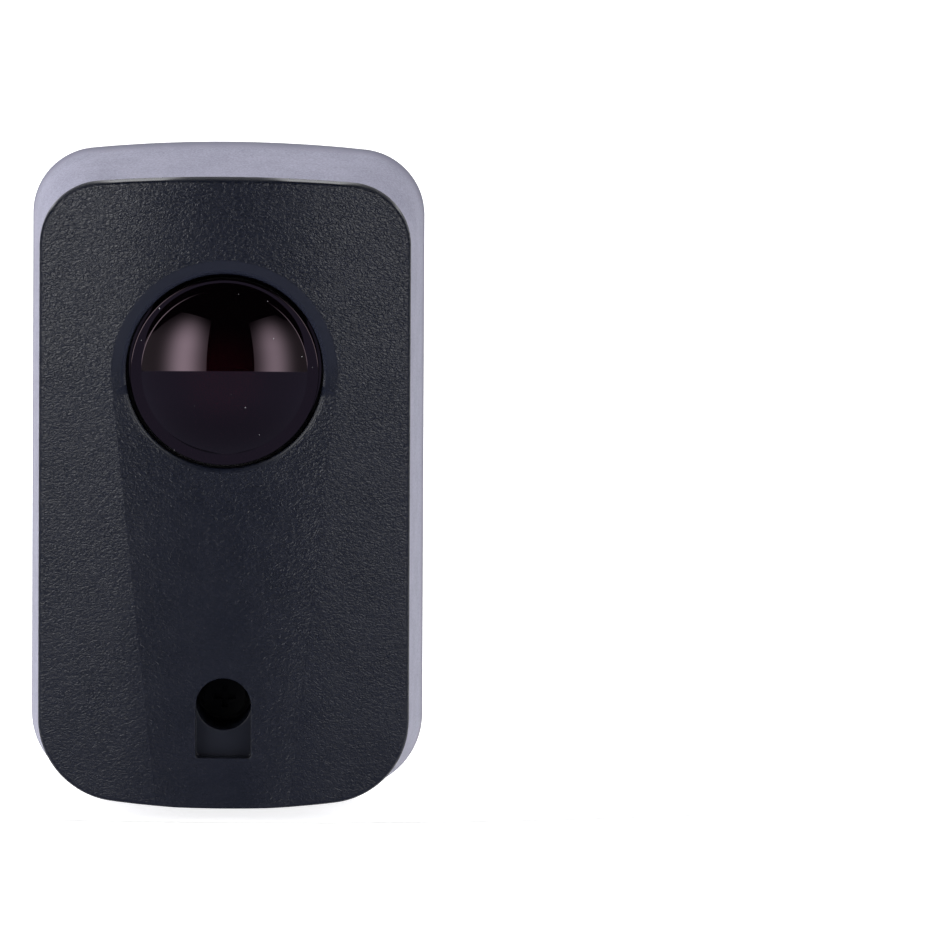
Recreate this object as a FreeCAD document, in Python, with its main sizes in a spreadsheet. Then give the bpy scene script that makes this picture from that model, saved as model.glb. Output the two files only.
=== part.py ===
import FreeCAD, Part
import math
import os
import Sketcher

# A gate photocell: a drafted wall housing, a black front cover with a domed lens, and the electronics.
# X runs across, Z runs up, the wall is the plane y = 0 and the front faces -Y.
# Depths are measured forward from the wall, so a depth of 5 is the plane y = -5.

SIZES = {
    # Front cover, measured from the middle of the cover
    "cover_width": 60.25,
    "cover_top": 51.7,
    "cover_bottom": 51.95,
    "cover_crown_top": 274.0,
    "cover_crown_bottom": 140.0,
    "cover_corner_top": 10.3,
    "cover_corner_bottom": 13.6,
    "cover_rise": 4.4,
    "cover_hollow": 1.4,
    "cover_edge_round": 0.6,
    "face_radius_across": 700.0,
    "face_radius_along": 1800.0,
    "skirt_depth": 3.0,
    "skirt_wall": 1.6,
    "skirt_gap": 0.25,
    # Dish round the lens, the trough that runs down from it, and the thicker wall behind both
    "dish_radius": 18.5,
    "dish_depth": 1.6,
    "trough_foot_half_width": 10.6,
    "trough_overrun": 2.0,
    "backing_step": 0.95,
    "backing_margin": 1.8,
    # Lens in its hole
    "lens_height": 20.2,
    "lens_hole_radius": 16.1,
    "lens_gap": 0.75,
    "lens_rim_front": 3.9,
    "lens_rim_round": 0.3,
    "dome_inset": 1.6,
    "dome_rise": 5.4,
    "dome_foot_round": 1.2,
    "lens_flange_overlap": 2.1,
    "lens_flange_thickness": 2.0,
    "lens_back_margin": 1.1,
    "lens_back_bulge": 4.6,
    "lens_seal_thickness": 1.0,
    "lens_seal_gap": 0.3,
    # Keyhole recess, screw well and cover screw
    "screw_drop": 34.9,
    "well_radius": 4.5,
    "well_wall": 1.8,
    "well_web": 2.0,
    "recess_length": 8.7,
    "recess_depth": 4.2,
    "recess_corner": 0.6,
    "boss_radius": 4.2,
    "boss_height": 11.0,
    "screw_radius": 1.75,
    "screw_gap": 0.2,
    "thread_gap": 0.05,
    "screw_head_gap": 1.1,
    "screw_head_height": 2.4,
    "screw_tip_gap": 1.2,
    "pilot_floor": 0.6,
    "drive_width": 0.9,
    "drive_length": 3.6,
    "drive_depth": 1.3,
    "screw_seal_thickness": 1.0,
    "screw_seal_gap": 0.3,
    # Hook that holds the cover's top edge
    "hook_half_width": 7.0,
    "hook_reach": 5.2,
    "hook_lip_thickness": 1.4,
    "hook_lip_rise": 1.7,
    "hook_gap": 0.35,
    # Rear housing
    "housing_depth": 22.4,
    "housing_wall": 2.4,
    "housing_floor": 2.4,
    "side_flare": 1.8,
    "top_flare": 2.4,
    "bottom_flare": 2.35,
    "housing_crown_top": 220.0,
    "housing_corner_top": 10.8,
    "housing_corner_bottom": 12.5,
    "housing_back_round": 0.7,
    "rim_land": 1.2,
    "seal_depth": 1.5,
    "seal_gap": 0.05,
    # Wall screws and cable inlet
    "wall_hole_spacing": 90.0,
    "wall_hole_radius": 2.25,
    "wall_pad_radius": 5.0,
    "wall_pad_height": 1.0,
    "cable_side": 15.0,
    "cable_drop": 37.0,
    "cable_hole_radius": 5.5,
    "grommet_gap": 0.1,
    "grommet_bore_radius": 2.6,
    "grommet_flange": 1.6,
    "grommet_back_thickness": 0.8,
    "grommet_front_thickness": 2.0,
    # Circuit board on its standoffs
    "board_gap": 1.25,
    "board_end_gap": 1.5,
    "board_well_gap": 3.0,
    "board_thickness": 1.6,
    "board_hole_inset": 3.5,
    "standoff_height": 3.0,
    "standoff_radius": 3.0,
    "board_screw_radius": 1.1,
    "board_screw_gap": 0.2,
    "board_screw_head_radius": 2.2,
    "board_screw_head_height": 1.5,
    # Barrel between the board and the lens
    "barrel_foot_radius": 8.0,
    "barrel_foot_height": 4.0,
    "barrel_wall": 1.4,
    "barrel_collar": 2.4,
    "barrel_collar_radius": 16.0,
    "barrel_collar_wall": 2.6,
    # Parts on the board
    "photodiode_width": 4.3,
    "photodiode_length": 5.4,
    "photodiode_height": 2.4,
    "photodiode_window": 3.2,
    "photodiode_window_depth": 0.4,
    "terminal_pitch": 5.08,
    "terminal_depth": 9.0,
    "terminal_height": 10.0,
    "terminal_entry": 3.2,
    "terminal_entry_depth": 6.0,
    "terminal_entry_floor": 1.6,
    "terminal_well_radius": 2.0,
    "terminal_screw_radius": 1.7,
    "terminal_screw_height": 2.5,
    "terminal_screw_sink": 0.8,
    "terminal_clamp_wall": 0.5,
    "terminal_clamp_gap": 0.1,
    "part_gap": 2.0,
    "edge_gap": 1.0,
    "relay_gap": 1.625,
    "relay_width": 10.0,
    "relay_length": 15.0,
    "relay_height": 9.5,
    "relay_round": 0.8,
    "rectifier_width": 8.0,
    "rectifier_length": 6.4,
    "rectifier_height": 2.6,
    "regulator_width": 6.5,
    "regulator_length": 6.1,
    "regulator_height": 2.3,
    "supply_capacitor_radius": 4.0,
    "supply_capacitor_height": 9.0,
    "filter_capacitor_radius": 2.5,
    "filter_capacitor_height": 7.0,
    "filter_capacitor_side": 9.0,
    "capacitor_crimp": 0.35,
    "capacitor_crimp_height": 1.6,
    "chip_drop": 30.5,
    "chip_width": 3.9,
    "chip_length": 8.7,
    "chip_thickness": 1.5,
    "chip_standoff": 0.2,
    "chip_pin_pitch": 1.27,
    "chip_pin_width": 0.4,
    "chip_pin_reach": 1.0,
    "chip_pin_thickness": 0.8,
    "jumper_pitch": 2.54,
    "jumper_drop": 10.5,
    "jumper_base_width": 2.5,
    "jumper_base_thickness": 2.5,
    "jumper_pin_width": 0.64,
    "jumper_pin_length": 8.4,
    "jumper_cap_length": 5.0,
    "jumper_cap_thickness": 5.0,
    "jumper_cap_gap": 0.05,
    "led_radius": 1.5,
    "led_height": 4.6,
    "led_rim": 0.3,
    "led_rim_thickness": 1.0,
    "led_drop": 9.5,
    "smd_length": 2.0,
    "smd_width": 1.25,
    "resistor_thickness": 0.5,
    "resistor_pitch": 3.4,
    "resistor_drop": 29.5,
    "capacitor_thickness": 1.1,
    "capacitor_pitch": 4.6,
    "capacitor_row_drop": 4.5,
}

TERMINALS = 5
CHIP_PINS_PER_SIDE = 7
JUMPER_PINS = 3
RESISTOR_ROWS = 4
CHIP_CAPACITORS = 4
# Angle in degrees that the arc of the cover's face sweeps about its far axis, more than the cover needs
FACE_SWEEP = 12
# Distance in millimetres within which two places count as the same
SAME_PLACE = 0.001

doc = FreeCAD.newDocument("gate_photocell")
sheet = doc.addObject("Spreadsheet::Sheet", "Sizes")
for row, (alias, number) in enumerate(SIZES.items(), start=1):
    sheet.set(f"A{row}", alias)
    sheet.set(f"B{row}", str(number))
    sheet.setAlias(f"B{row}", alias)
doc.recompute()


class Size:
    """A length with its number and the sheet expression that it comes from."""

    def __init__(self, text, number):
        self.text = text
        self.number = number

    def join(self, sign, other, number):
        return Size(f"({self.text} {sign} {other.text})", number)

    def __add__(self, other):
        other = as_size(other)
        return self.join("+", other, self.number + other.number)

    def __sub__(self, other):
        other = as_size(other)
        return self.join("-", other, self.number - other.number)

    def __mul__(self, other):
        other = as_size(other)
        return self.join("*", other, self.number * other.number)

    def __truediv__(self, other):
        other = as_size(other)
        return self.join("/", other, self.number / other.number)

    def __neg__(self):
        return Size(f"(-1 * {self.text})", -self.number)


def as_size(value):
    """Turns a plain number into a Size and leaves a Size as it is."""
    return value if isinstance(value, Size) else Size(repr(float(value)), float(value))


def size(alias):
    """The named cell of the sheet."""
    return Size(f"Sizes.{alias}", float(sheet.get(alias)))


def bind(item, **expressions):
    """Ties each named property of a feature to its size."""
    for name, value in expressions.items():
        item.setExpression(name, as_size(value).text)


def place(item, across, depth, up):
    """Ties the position of a sub-part to its sizes."""
    item.setExpression("Placement.Base.x", as_size(across).text)
    item.setExpression("Placement.Base.y", (-as_size(depth)).text)
    item.setExpression("Placement.Base.z", as_size(up).text)


ZERO = as_size(0)
FORWARD = FreeCAD.Rotation(FreeCAD.Vector(1, 0, 0), 90)


# Sketches and features of moulded and turned pieces

def new_body(label):
    body = doc.addObject("PartDesign::Body", label)
    body.Label = label
    return body


def new_sketch(body, name, role, offset=ZERO):
    """A sketch on one of the body's own planes, moved along that plane's normal."""
    sketch = body.newObject("Sketcher::SketchObject", name)
    plane = next(item for item in body.Origin.OriginFeatures if item.Role == role)
    sketch.AttachmentSupport = [(plane, "")]
    sketch.MapMode = "FlatFace"
    sketch.setExpression("AttachmentOffset.Base.z", as_size(offset).text)
    return sketch


def dimension(sketch, kind, value, *points):
    """A constraint whose value follows a size."""
    value = as_size(value)
    index = sketch.addConstraint(Sketcher.Constraint(kind, *points, value.number))
    sketch.setExpression(f"Constraints[{index}]", value.text)


def pin_point(sketch, geometry, end, across, up):
    """Fixes one point of a sketch at a distance from its origin, on either side of it."""
    for kind, axis, value in (("DistanceX", -2, as_size(across)), ("DistanceY", -1, as_size(up))):
        if value.number > 0:
            dimension(sketch, kind, value, -1, 1, geometry, end)
        elif value.number < 0:
            dimension(sketch, kind, -value, geometry, end, -1, 1)
        else:
            sketch.addConstraint(Sketcher.Constraint("PointOnObject", geometry, end, axis))


def add_circle(sketch, across, up, radius):
    across, up, radius = as_size(across), as_size(up), as_size(radius)
    centre = FreeCAD.Vector(across.number, up.number, 0)
    circle = sketch.addGeometry(Part.Circle(centre, FreeCAD.Vector(0, 0, 1), radius.number))
    pin_point(sketch, circle, 3, across, up)
    dimension(sketch, "Radius", radius, circle)


def add_polygon(sketch, points):
    """A closed run of straight lines through the given points, each fixed by its sizes."""
    points = [(as_size(across), as_size(up)) for across, up in points]
    places = [FreeCAD.Vector(across.number, up.number, 0) for across, up in points]
    ends = places[1:] + places[:1]
    lines = [sketch.addGeometry(Part.LineSegment(start, end)) for start, end in zip(places, ends)]
    for line, following in zip(lines, lines[1:] + lines[:1]):
        sketch.addConstraint(Sketcher.Constraint("Coincident", line, 2, following, 1))
    for line, (across, up) in zip(lines, points):
        pin_point(sketch, line, 1, across, up)


def add_rectangle(sketch, left, right, low, high):
    add_polygon(sketch, [(left, low), (right, low), (right, high), (left, high)])


def add_outline(sketch, half_width, top, bottom, crown_top, crown_bottom, corner_top, corner_bottom):
    """An upright rounded outline with straight sides and gently crowned ends."""
    def corner_place(height, crown, corner):
        across = half_width.number - corner.number
        lift = math.sqrt((crown.number - corner.number) ** 2 - across ** 2)
        return across, height.number - crown.number + lift, math.atan2(lift, across)

    def arc(across, up, radius, start, end):
        circle = Part.Circle(FreeCAD.Vector(across, up, 0), FreeCAD.Vector(0, 0, 1), radius.number)
        return sketch.addGeometry(Part.ArcOfCircle(circle, start, end))

    def side(across, start, end):
        line = Part.LineSegment(FreeCAD.Vector(across, start, 0), FreeCAD.Vector(across, end, 0))
        return sketch.addGeometry(line)

    across_top, up_top, turn_top = corner_place(top, crown_top, corner_top)
    across_low, up_low, turn_low = corner_place(bottom, crown_bottom, corner_bottom)
    width, half_turn, turn = half_width.number, math.pi, 2 * math.pi
    right = side(width, -up_low, up_top)
    top_right = arc(across_top, up_top, corner_top, 0, turn_top)
    crown = arc(0, top.number - crown_top.number, crown_top, turn_top, half_turn - turn_top)
    top_left = arc(-across_top, up_top, corner_top, half_turn - turn_top, half_turn)
    left = side(-width, up_top, -up_low)
    low_left = arc(-across_low, -up_low, corner_bottom, half_turn, half_turn + turn_low)
    foot = arc(0, crown_bottom.number - bottom.number, crown_bottom, half_turn + turn_low, turn - turn_low)
    low_right = arc(across_low, -up_low, corner_bottom, turn - turn_low, turn)
    loop = [right, top_right, crown, top_left, left, low_left, foot, low_right]
    for edge, following in zip(loop, loop[1:] + loop[:1]):
        sketch.addConstraint(Sketcher.Constraint("Tangent", edge, 2, following, 1))
    sketch.addConstraint(Sketcher.Constraint("Vertical", right))
    sketch.addConstraint(Sketcher.Constraint("Vertical", left))
    dimension(sketch, "DistanceX", half_width, -1, 1, right, 1)
    dimension(sketch, "DistanceX", half_width, left, 1, -1, 1)
    pin_point(sketch, crown, 3, ZERO, top - crown_top)
    pin_point(sketch, foot, 3, ZERO, crown_bottom - bottom)
    dimension(sketch, "Radius", crown_top, crown)
    dimension(sketch, "Radius", crown_bottom, foot)
    dimension(sketch, "Radius", corner_top, top_right)
    dimension(sketch, "Radius", corner_bottom, low_left)
    sketch.addConstraint(Sketcher.Constraint("Equal", top_right, top_left))
    sketch.addConstraint(Sketcher.Constraint("Equal", low_left, low_right))


def add_cover_outline(sketch, inset):
    """The cover's outline, moved inward by the inset all round."""
    add_outline(
        sketch,
        size("cover_width") / 2 - inset,
        size("cover_top") - inset,
        size("cover_bottom") - inset,
        size("cover_crown_top") - inset,
        size("cover_crown_bottom") - inset,
        size("cover_corner_top") - inset,
        size("cover_corner_bottom") - inset,
    )


def add_feature(body, kind, name, sketch, length=None, back=False):
    """A pad or pocket of a sketch; back turns it round."""
    feature = body.newObject(f"PartDesign::{kind}", name)
    feature.Profile = sketch
    feature.Reversed = back
    if length is None:
        feature.Type = "ThroughAll"
    else:
        bind(feature, Length=length)
    return feature


def round_edges(body, name, radius, wanted):
    """Rounds the edges of the body's latest shape for which wanted(edge) is true."""
    doc.recompute()
    base = body.Tip
    names = [f"Edge{index}" for index, edge in enumerate(base.Shape.Edges, start=1) if wanted(edge)]
    rounding = body.newObject("PartDesign::Fillet", name)
    rounding.Base = (base, names)
    bind(rounding, Radius=radius)


def turned(label, across, up, outline):
    """A body turned about an axis that points forward. The outline is a closed run of points, each
    (depth, radius) or (depth, radius, True) where an arc centred on the axis leads on to the next."""
    body = new_body(label)
    sketch = new_sketch(body, f"{label}_profile", "YZ_Plane")
    rows = [(as_size(row[0]), as_size(row[1]), len(row) == 3) for row in outline]
    spots = [FreeCAD.Vector(-depth.number, radius.number, 0) for depth, radius, _ in rows]
    edges = []
    for (_, _, domed), start, end in zip(rows, spots, spots[1:] + spots[:1]):
        if domed:
            centre = (start.Length ** 2 - end.Length ** 2) / (2 * (start.x - end.x))
            reach = math.hypot(start.x - centre, start.y)
            angle = (math.atan2(start.y, start.x - centre) + math.atan2(end.y, end.x - centre)) / 2
            middle = FreeCAD.Vector(centre + reach * math.cos(angle), reach * math.sin(angle), 0)
            edge = sketch.addGeometry(Part.Arc(start, middle, end))
            sketch.addConstraint(Sketcher.Constraint("PointOnObject", edge, 3, -1))
        else:
            edge = sketch.addGeometry(Part.LineSegment(start, end))
        to_start = [sketch.getPoint(edge, point).distanceToPoint(start) for point in (1, 2)]
        forward = to_start[0] < to_start[1]
        edges.append((edge, 1, 2) if forward else (edge, 2, 1))
    for (edge, _, end), (following, start, _) in zip(edges, edges[1:] + edges[:1]):
        sketch.addConstraint(Sketcher.Constraint("Coincident", edge, end, following, start))
    for (edge, start, _), (depth, radius, _) in zip(edges, rows):
        pin_point(sketch, edge, start, -depth, radius)
    turning = body.newObject("PartDesign::Revolution", f"{label}_turning")
    turning.Profile = sketch
    turning.ReferenceAxis = (sketch, ["H_Axis"])
    turning.Angle = 360
    place(body, across, ZERO, up)
    return body


# Plain solids and their combinations

def block(name, across, up, depth, width, height, thickness):
    """A box centred on (across, up) that starts at a depth and runs forward by its thickness."""
    width, height, thickness = as_size(width), as_size(height), as_size(thickness)
    box = doc.addObject("Part::Box", name)
    bind(box, Length=width, Width=thickness, Height=height)
    place(box, across - width / 2, depth + thickness, up - height / 2)
    return box


def rod(name, across, up, depth, radius, length):
    """A cylinder that starts at a depth and runs forward."""
    cylinder = doc.addObject("Part::Cylinder", name)
    cylinder.Placement = FreeCAD.Placement(FreeCAD.Vector(), FORWARD)
    bind(cylinder, Radius=radius, Height=length)
    place(cylinder, across, depth, up)
    return cylinder


def combine(kind, label, pieces):
    """A fusion or a group of several solids under one label."""
    whole = doc.addObject(kind, label)
    if kind == "Part::Compound":
        whole.Links = pieces
    else:
        whole.Shapes = pieces
    whole.Label = label
    return whole


def cut(label, base, tools):
    """The base less every tool."""
    tool = tools[0] if len(tools) == 1 else combine("Part::Compound", f"{label}_tools", tools)
    whole = doc.addObject("Part::Cut", label)
    whole.Base = base
    whole.Tool = tool
    whole.Label = label
    return whole


# Places that several pieces share

rim = size("housing_depth")
floor = size("housing_floor")
front = rim + size("cover_rise")
ceiling = rim + size("cover_hollow")
lens_seat = ceiling - size("backing_step")
skirt_outside = size("housing_wall") + size("skirt_gap")
skirt_inside = skirt_outside + size("skirt_wall")
lens_up = size("lens_height")
screw_up = -size("screw_drop")
well_outside = size("well_radius") + size("well_wall")
head_seat = size("boss_height") + size("well_web") + size("screw_seal_thickness")
screw_tip = floor + size("screw_tip_gap")
board_seat = floor + size("standoff_height")
board_front = board_seat + size("board_thickness")
board_half_width = size("cover_width") / 2 - skirt_inside - size("board_gap")
board_top = size("wall_hole_spacing") / 2 - size("wall_pad_radius") - size("board_end_gap")
board_low = screw_up + well_outside + size("board_well_gap")
board_hole_ups = (board_low + size("board_hole_inset"), board_top - size("board_hole_inset"))
board_holes = [(side, up) for side in (-1, 1) for up in board_hole_ups]
board_hole_across = board_half_width - size("board_hole_inset")
wall_holes = [size("wall_hole_spacing") / 2, -size("wall_hole_spacing") / 2]
cable_up = -size("cable_drop")
grommet_radius = size("cable_hole_radius") + size("grommet_flange")


# Rear housing: lofted from its wide back to its narrower rim, then hollowed with an even wall

housing = new_body("rear_housing")
back_outline = new_sketch(housing, "housing_back_outline", "XZ_Plane")
add_outline(
    back_outline,
    size("cover_width") / 2 + size("side_flare"),
    size("cover_top") + size("top_flare"),
    size("cover_bottom") + size("bottom_flare"),
    size("housing_crown_top"),
    size("cover_crown_bottom"),
    size("housing_corner_top"),
    size("housing_corner_bottom"),
)
rim_outline = new_sketch(housing, "housing_rim_outline", "XZ_Plane", rim)
add_cover_outline(rim_outline, ZERO)
shell = housing.newObject("PartDesign::AdditiveLoft", "housing_shell")
shell.Profile = back_outline
shell.Sections = [rim_outline]
shell.Ruled = True
round_edges(
    housing,
    "housing_back_rounding",
    size("housing_back_round"),
    lambda edge: all(abs(vertex.Y) < SAME_PLACE for vertex in edge.Vertexes),
)

floor_share = Size("1", 1.0) - floor / rim
hollow_floor = new_sketch(housing, "hollow_floor_outline", "XZ_Plane", floor)
add_outline(
    hollow_floor,
    size("cover_width") / 2 + size("side_flare") * floor_share - size("housing_wall"),
    size("cover_top") + size("top_flare") * floor_share - size("housing_wall"),
    size("cover_bottom") + size("bottom_flare") * floor_share - size("housing_wall"),
    size("housing_crown_top"),
    size("cover_crown_bottom"),
    size("housing_corner_top") - size("housing_wall"),
    size("housing_corner_bottom") - size("housing_wall"),
)
hollow_rim = new_sketch(housing, "hollow_rim_outline", "XZ_Plane", rim)
add_cover_outline(hollow_rim, size("housing_wall"))
hollow = housing.newObject("PartDesign::SubtractiveLoft", "housing_hollow")
hollow.Profile = hollow_floor
hollow.Sections = [hollow_rim]
hollow.Ruled = True

rebate_outline = new_sketch(housing, "rebate_outline", "XZ_Plane", rim)
add_cover_outline(rebate_outline, size("rim_land"))
add_feature(housing, "Pocket", "seal_rebate", rebate_outline, size("seal_depth"))

posts = new_sketch(housing, "standoff_circles", "XZ_Plane", floor)
for side, up in board_holes:
    add_circle(posts, board_hole_across * side, up, size("standoff_radius"))
add_feature(housing, "Pad", "standoffs", posts, size("standoff_height"))
post_holes = new_sketch(housing, "standoff_hole_circles", "XZ_Plane", board_seat)
for side, up in board_holes:
    add_circle(post_holes, board_hole_across * side, up, size("board_screw_radius") + size("thread_gap"))
add_feature(housing, "Pocket", "standoff_holes", post_holes, size("standoff_height") - size("pilot_floor"))

boss = new_sketch(housing, "boss_circle", "XZ_Plane", floor)
add_circle(boss, ZERO, screw_up, size("boss_radius"))
add_feature(housing, "Pad", "screw_boss", boss, size("boss_height") - floor)
boss_hole = new_sketch(housing, "boss_hole_circle", "XZ_Plane", size("boss_height"))
add_circle(boss_hole, ZERO, screw_up, size("screw_radius") + size("thread_gap"))
boss_hole_depth = size("boss_height") - floor - size("pilot_floor")
add_feature(housing, "Pocket", "screw_boss_hole", boss_hole, boss_hole_depth)

pads = new_sketch(housing, "wall_pad_circles", "XZ_Plane", floor)
wall_circles = new_sketch(housing, "wall_hole_circles", "XZ_Plane", floor + size("wall_pad_height"))
for up in wall_holes:
    add_circle(pads, ZERO, up, size("wall_pad_radius"))
    add_circle(wall_circles, ZERO, up, size("wall_hole_radius"))
add_feature(housing, "Pad", "wall_pads", pads, size("wall_pad_height"))
add_feature(housing, "Pocket", "wall_screw_holes", wall_circles)

inlet = new_sketch(housing, "cable_hole_circle", "XZ_Plane", floor)
add_circle(inlet, size("cable_side"), cable_up, size("cable_hole_radius"))
add_feature(housing, "Pocket", "cable_hole", inlet)
inlet_sink = new_sketch(housing, "cable_sink_circle", "XZ_Plane", size("grommet_back_thickness"))
add_circle(inlet_sink, size("cable_side"), cable_up, grommet_radius + size("grommet_gap"))
add_feature(housing, "Pocket", "cable_sink", inlet_sink)

hook_tip = rim - size("skirt_depth") - size("hook_reach")
hook_top = size("cover_top") - skirt_outside
hook_slot = new_sketch(
    housing, "hook_slot_outline", "XZ_Plane", hook_tip + size("hook_lip_thickness") + size("hook_gap")
)
add_rectangle(
    hook_slot,
    -(size("hook_half_width") + size("hook_gap")),
    size("hook_half_width") + size("hook_gap"),
    hook_top - size("skirt_wall"),
    hook_top + size("hook_lip_rise") + size("hook_gap"),
)
add_feature(housing, "Pocket", "hook_slot", hook_slot, size("hook_lip_thickness") + size("hook_gap") * 2)


# Front cover: a crowned plate with a rounded edge, hollowed behind, with a dish, a trough and a screw well

cover = new_body("front_cover")
cover_outline = new_sketch(cover, "cover_outline", "XZ_Plane", rim)
add_cover_outline(cover_outline, ZERO)
add_feature(cover, "Pad", "cover_plate", cover_outline, size("cover_rise"))

face_arc = new_sketch(cover, "face_arc", "XY_Plane")
face_radius = size("face_radius_across")
face_reach = size("cover_width")
face_sink = face_radius.number - math.sqrt(face_radius.number ** 2 - face_reach.number ** 2)
arc_ends = [FreeCAD.Vector(side * face_reach.number, face_sink - front.number, 0) for side in (-1, 1)]
arc_middle = FreeCAD.Vector(0, -front.number, 0)
face_front = -(front + size("cover_rise"))
bow = face_arc.addGeometry(Part.Arc(arc_ends[0], arc_middle, arc_ends[1]))
corners = [FreeCAD.Vector(end.x, face_front.number, 0) for end in arc_ends]
right_line = face_arc.addGeometry(Part.LineSegment(arc_ends[1], corners[1]))
outer_line = face_arc.addGeometry(Part.LineSegment(corners[1], corners[0]))
left_line = face_arc.addGeometry(Part.LineSegment(corners[0], arc_ends[0]))
bow_left, bow_right = (1, 2) if face_arc.getPoint(bow, 1).x < 0 else (2, 1)
face_arc.addConstraint(Sketcher.Constraint("Coincident", bow, bow_right, right_line, 1))
face_arc.addConstraint(Sketcher.Constraint("Coincident", right_line, 2, outer_line, 1))
face_arc.addConstraint(Sketcher.Constraint("Coincident", outer_line, 2, left_line, 1))
face_arc.addConstraint(Sketcher.Constraint("Coincident", left_line, 2, bow, bow_left))
face_arc.addConstraint(Sketcher.Constraint("Vertical", right_line))
face_arc.addConstraint(Sketcher.Constraint("Vertical", left_line))
pin_point(face_arc, outer_line, 1, face_reach, face_front)
pin_point(face_arc, outer_line, 2, -face_reach, face_front)
pin_point(face_arc, bow, 3, ZERO, face_radius - front)
dimension(face_arc, "Radius", face_radius, bow)
axis_behind = size("face_radius_along") - front
axis_ends = [FreeCAD.Vector(side * face_reach.number, axis_behind.number, 0) for side in (-1, 1)]
face_axis = face_arc.addGeometry(Part.LineSegment(*axis_ends), True)
pin_point(face_arc, face_axis, 1, -face_reach, axis_behind)
pin_point(face_arc, face_axis, 2, face_reach, axis_behind)
face_cut = cover.newObject("PartDesign::Groove", "cover_face")
face_cut.Profile = face_arc
face_cut.ReferenceAxis = (face_arc, ["Axis0"])
face_cut.Midplane = True
face_cut.Angle = FACE_SWEEP
edge_limit = -(rim.number + front.number) / 2
round_edges(
    cover,
    "cover_edge_rounding",
    size("cover_edge_round"),
    lambda edge: all(vertex.Y < edge_limit for vertex in edge.Vertexes),
)

hollow_outline = new_sketch(cover, "cover_hollow_outline", "XZ_Plane", rim)
add_cover_outline(hollow_outline, skirt_inside)
add_feature(cover, "Pocket", "cover_hollow", hollow_outline, size("cover_hollow"), back=True)

skirt_ring = new_sketch(cover, "skirt_outlines", "XZ_Plane", rim)
add_cover_outline(skirt_ring, skirt_outside)
add_cover_outline(skirt_ring, skirt_inside)
add_feature(cover, "Pad", "skirt", skirt_ring, size("skirt_depth"), back=True)

foot_up = -(size("cover_bottom") + size("trough_overrun"))
disc_backing = new_sketch(cover, "dish_backing_circle", "XZ_Plane", ceiling)
add_circle(disc_backing, ZERO, lens_up, size("dish_radius") + size("backing_margin"))
add_feature(cover, "Pad", "dish_backing", disc_backing, size("backing_step"), back=True)
trough_backing = new_sketch(cover, "trough_backing_outline", "XZ_Plane", ceiling)
backing_foot = skirt_inside - size("cover_bottom")
backing_top_half = size("dish_radius") + size("backing_margin")
backing_foot_half = size("trough_foot_half_width") + size("backing_margin")
add_polygon(
    trough_backing,
    [
        (-backing_foot_half, backing_foot),
        (backing_foot_half, backing_foot),
        (backing_top_half, lens_up),
        (-backing_top_half, lens_up),
    ],
)
add_feature(cover, "Pad", "trough_backing", trough_backing, size("backing_step"), back=True)

recess_floor = front - size("recess_depth")
recess_low = screw_up - size("recess_length")
well_blank = new_sketch(cover, "well_circle", "XZ_Plane", size("boss_height"))
add_circle(well_blank, ZERO, screw_up, well_outside)
add_feature(cover, "Pad", "well_blank", well_blank, ceiling - size("boss_height"))
cup_blank = new_sketch(cover, "recess_cup_outline", "XZ_Plane", recess_floor - size("well_wall"))
add_rectangle(cup_blank, -well_outside, well_outside, recess_low - size("well_wall"), screw_up)
cup_height = size("recess_depth") + size("well_wall") - size("cover_rise") + size("cover_hollow")
add_feature(cover, "Pad", "recess_cup", cup_blank, cup_height)


def trough_circle(half_width, up):
    """Depth of the centre and radius of the circle that cuts the trough to its half width at a level."""
    depth = size("dish_depth") * half_width / size("dish_radius")
    sink_across = half_width * half_width / (size("face_radius_across") * 2)
    sink_along = up * up / (size("face_radius_along") * 2)
    radius = half_width * half_width / (depth * 2) + depth / 2
    return front - sink_across - sink_along - depth + radius, radius


trough_circles = []
for name, share in (("top", 0.0), ("middle", 0.5), ("foot", 1.0)):
    half_width = size("dish_radius") * (1 - share) + size("trough_foot_half_width") * share
    up = lens_up * (1 - share) + foot_up * share
    centre, radius = trough_circle(half_width, up)
    circle_sketch = new_sketch(cover, f"trough_{name}_circle", "XY_Plane", up)
    add_circle(circle_sketch, ZERO, -centre, radius)
    trough_circles.append(circle_sketch)
trough = cover.newObject("PartDesign::SubtractiveLoft", "trough")
trough.Profile = trough_circles[0]
trough.Sections = trough_circles[1:]
dish_centre, dish_sphere = trough_circle(size("dish_radius"), lens_up)
dish = cover.newObject("PartDesign::SubtractiveSphere", "dish")
dish.Angle1 = 0
bind(dish, Radius=dish_sphere)
place(dish, ZERO, dish_centre, lens_up)

lens_circle = new_sketch(cover, "lens_hole_circle", "XZ_Plane", front)
add_circle(lens_circle, ZERO, lens_up, size("lens_hole_radius"))
add_feature(cover, "Pocket", "lens_hole", lens_circle)
recess = new_sketch(cover, "recess_outline", "XZ_Plane", front)
add_rectangle(recess, -size("well_radius"), size("well_radius"), recess_low, screw_up)
add_feature(cover, "Pocket", "recess", recess, size("recess_depth"))


def in_recess_corner(edge):
    """True for the two edges that run forward in the lower corners of the recess."""
    low = all(abs(vertex.Z - recess_low.number) < SAME_PLACE for vertex in edge.Vertexes)
    sides = {round(vertex.X, 2) for vertex in edge.Vertexes}
    return low and sides in ({-well_reach}, {well_reach})


well_reach = round(size("well_radius").number, 2)
round_edges(cover, "recess_rounding", size("recess_corner"), in_recess_corner)
well_bore = new_sketch(cover, "well_bore_circle", "XZ_Plane", front)
add_circle(well_bore, ZERO, screw_up, size("well_radius"))
add_feature(cover, "Pocket", "well", well_bore, front - size("boss_height") - size("well_web"))
screw_pass = new_sketch(cover, "screw_hole_circle", "XZ_Plane", front)
add_circle(screw_pass, ZERO, screw_up, size("screw_radius") + size("screw_gap"))
add_feature(cover, "Pocket", "screw_hole", screw_pass)

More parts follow.
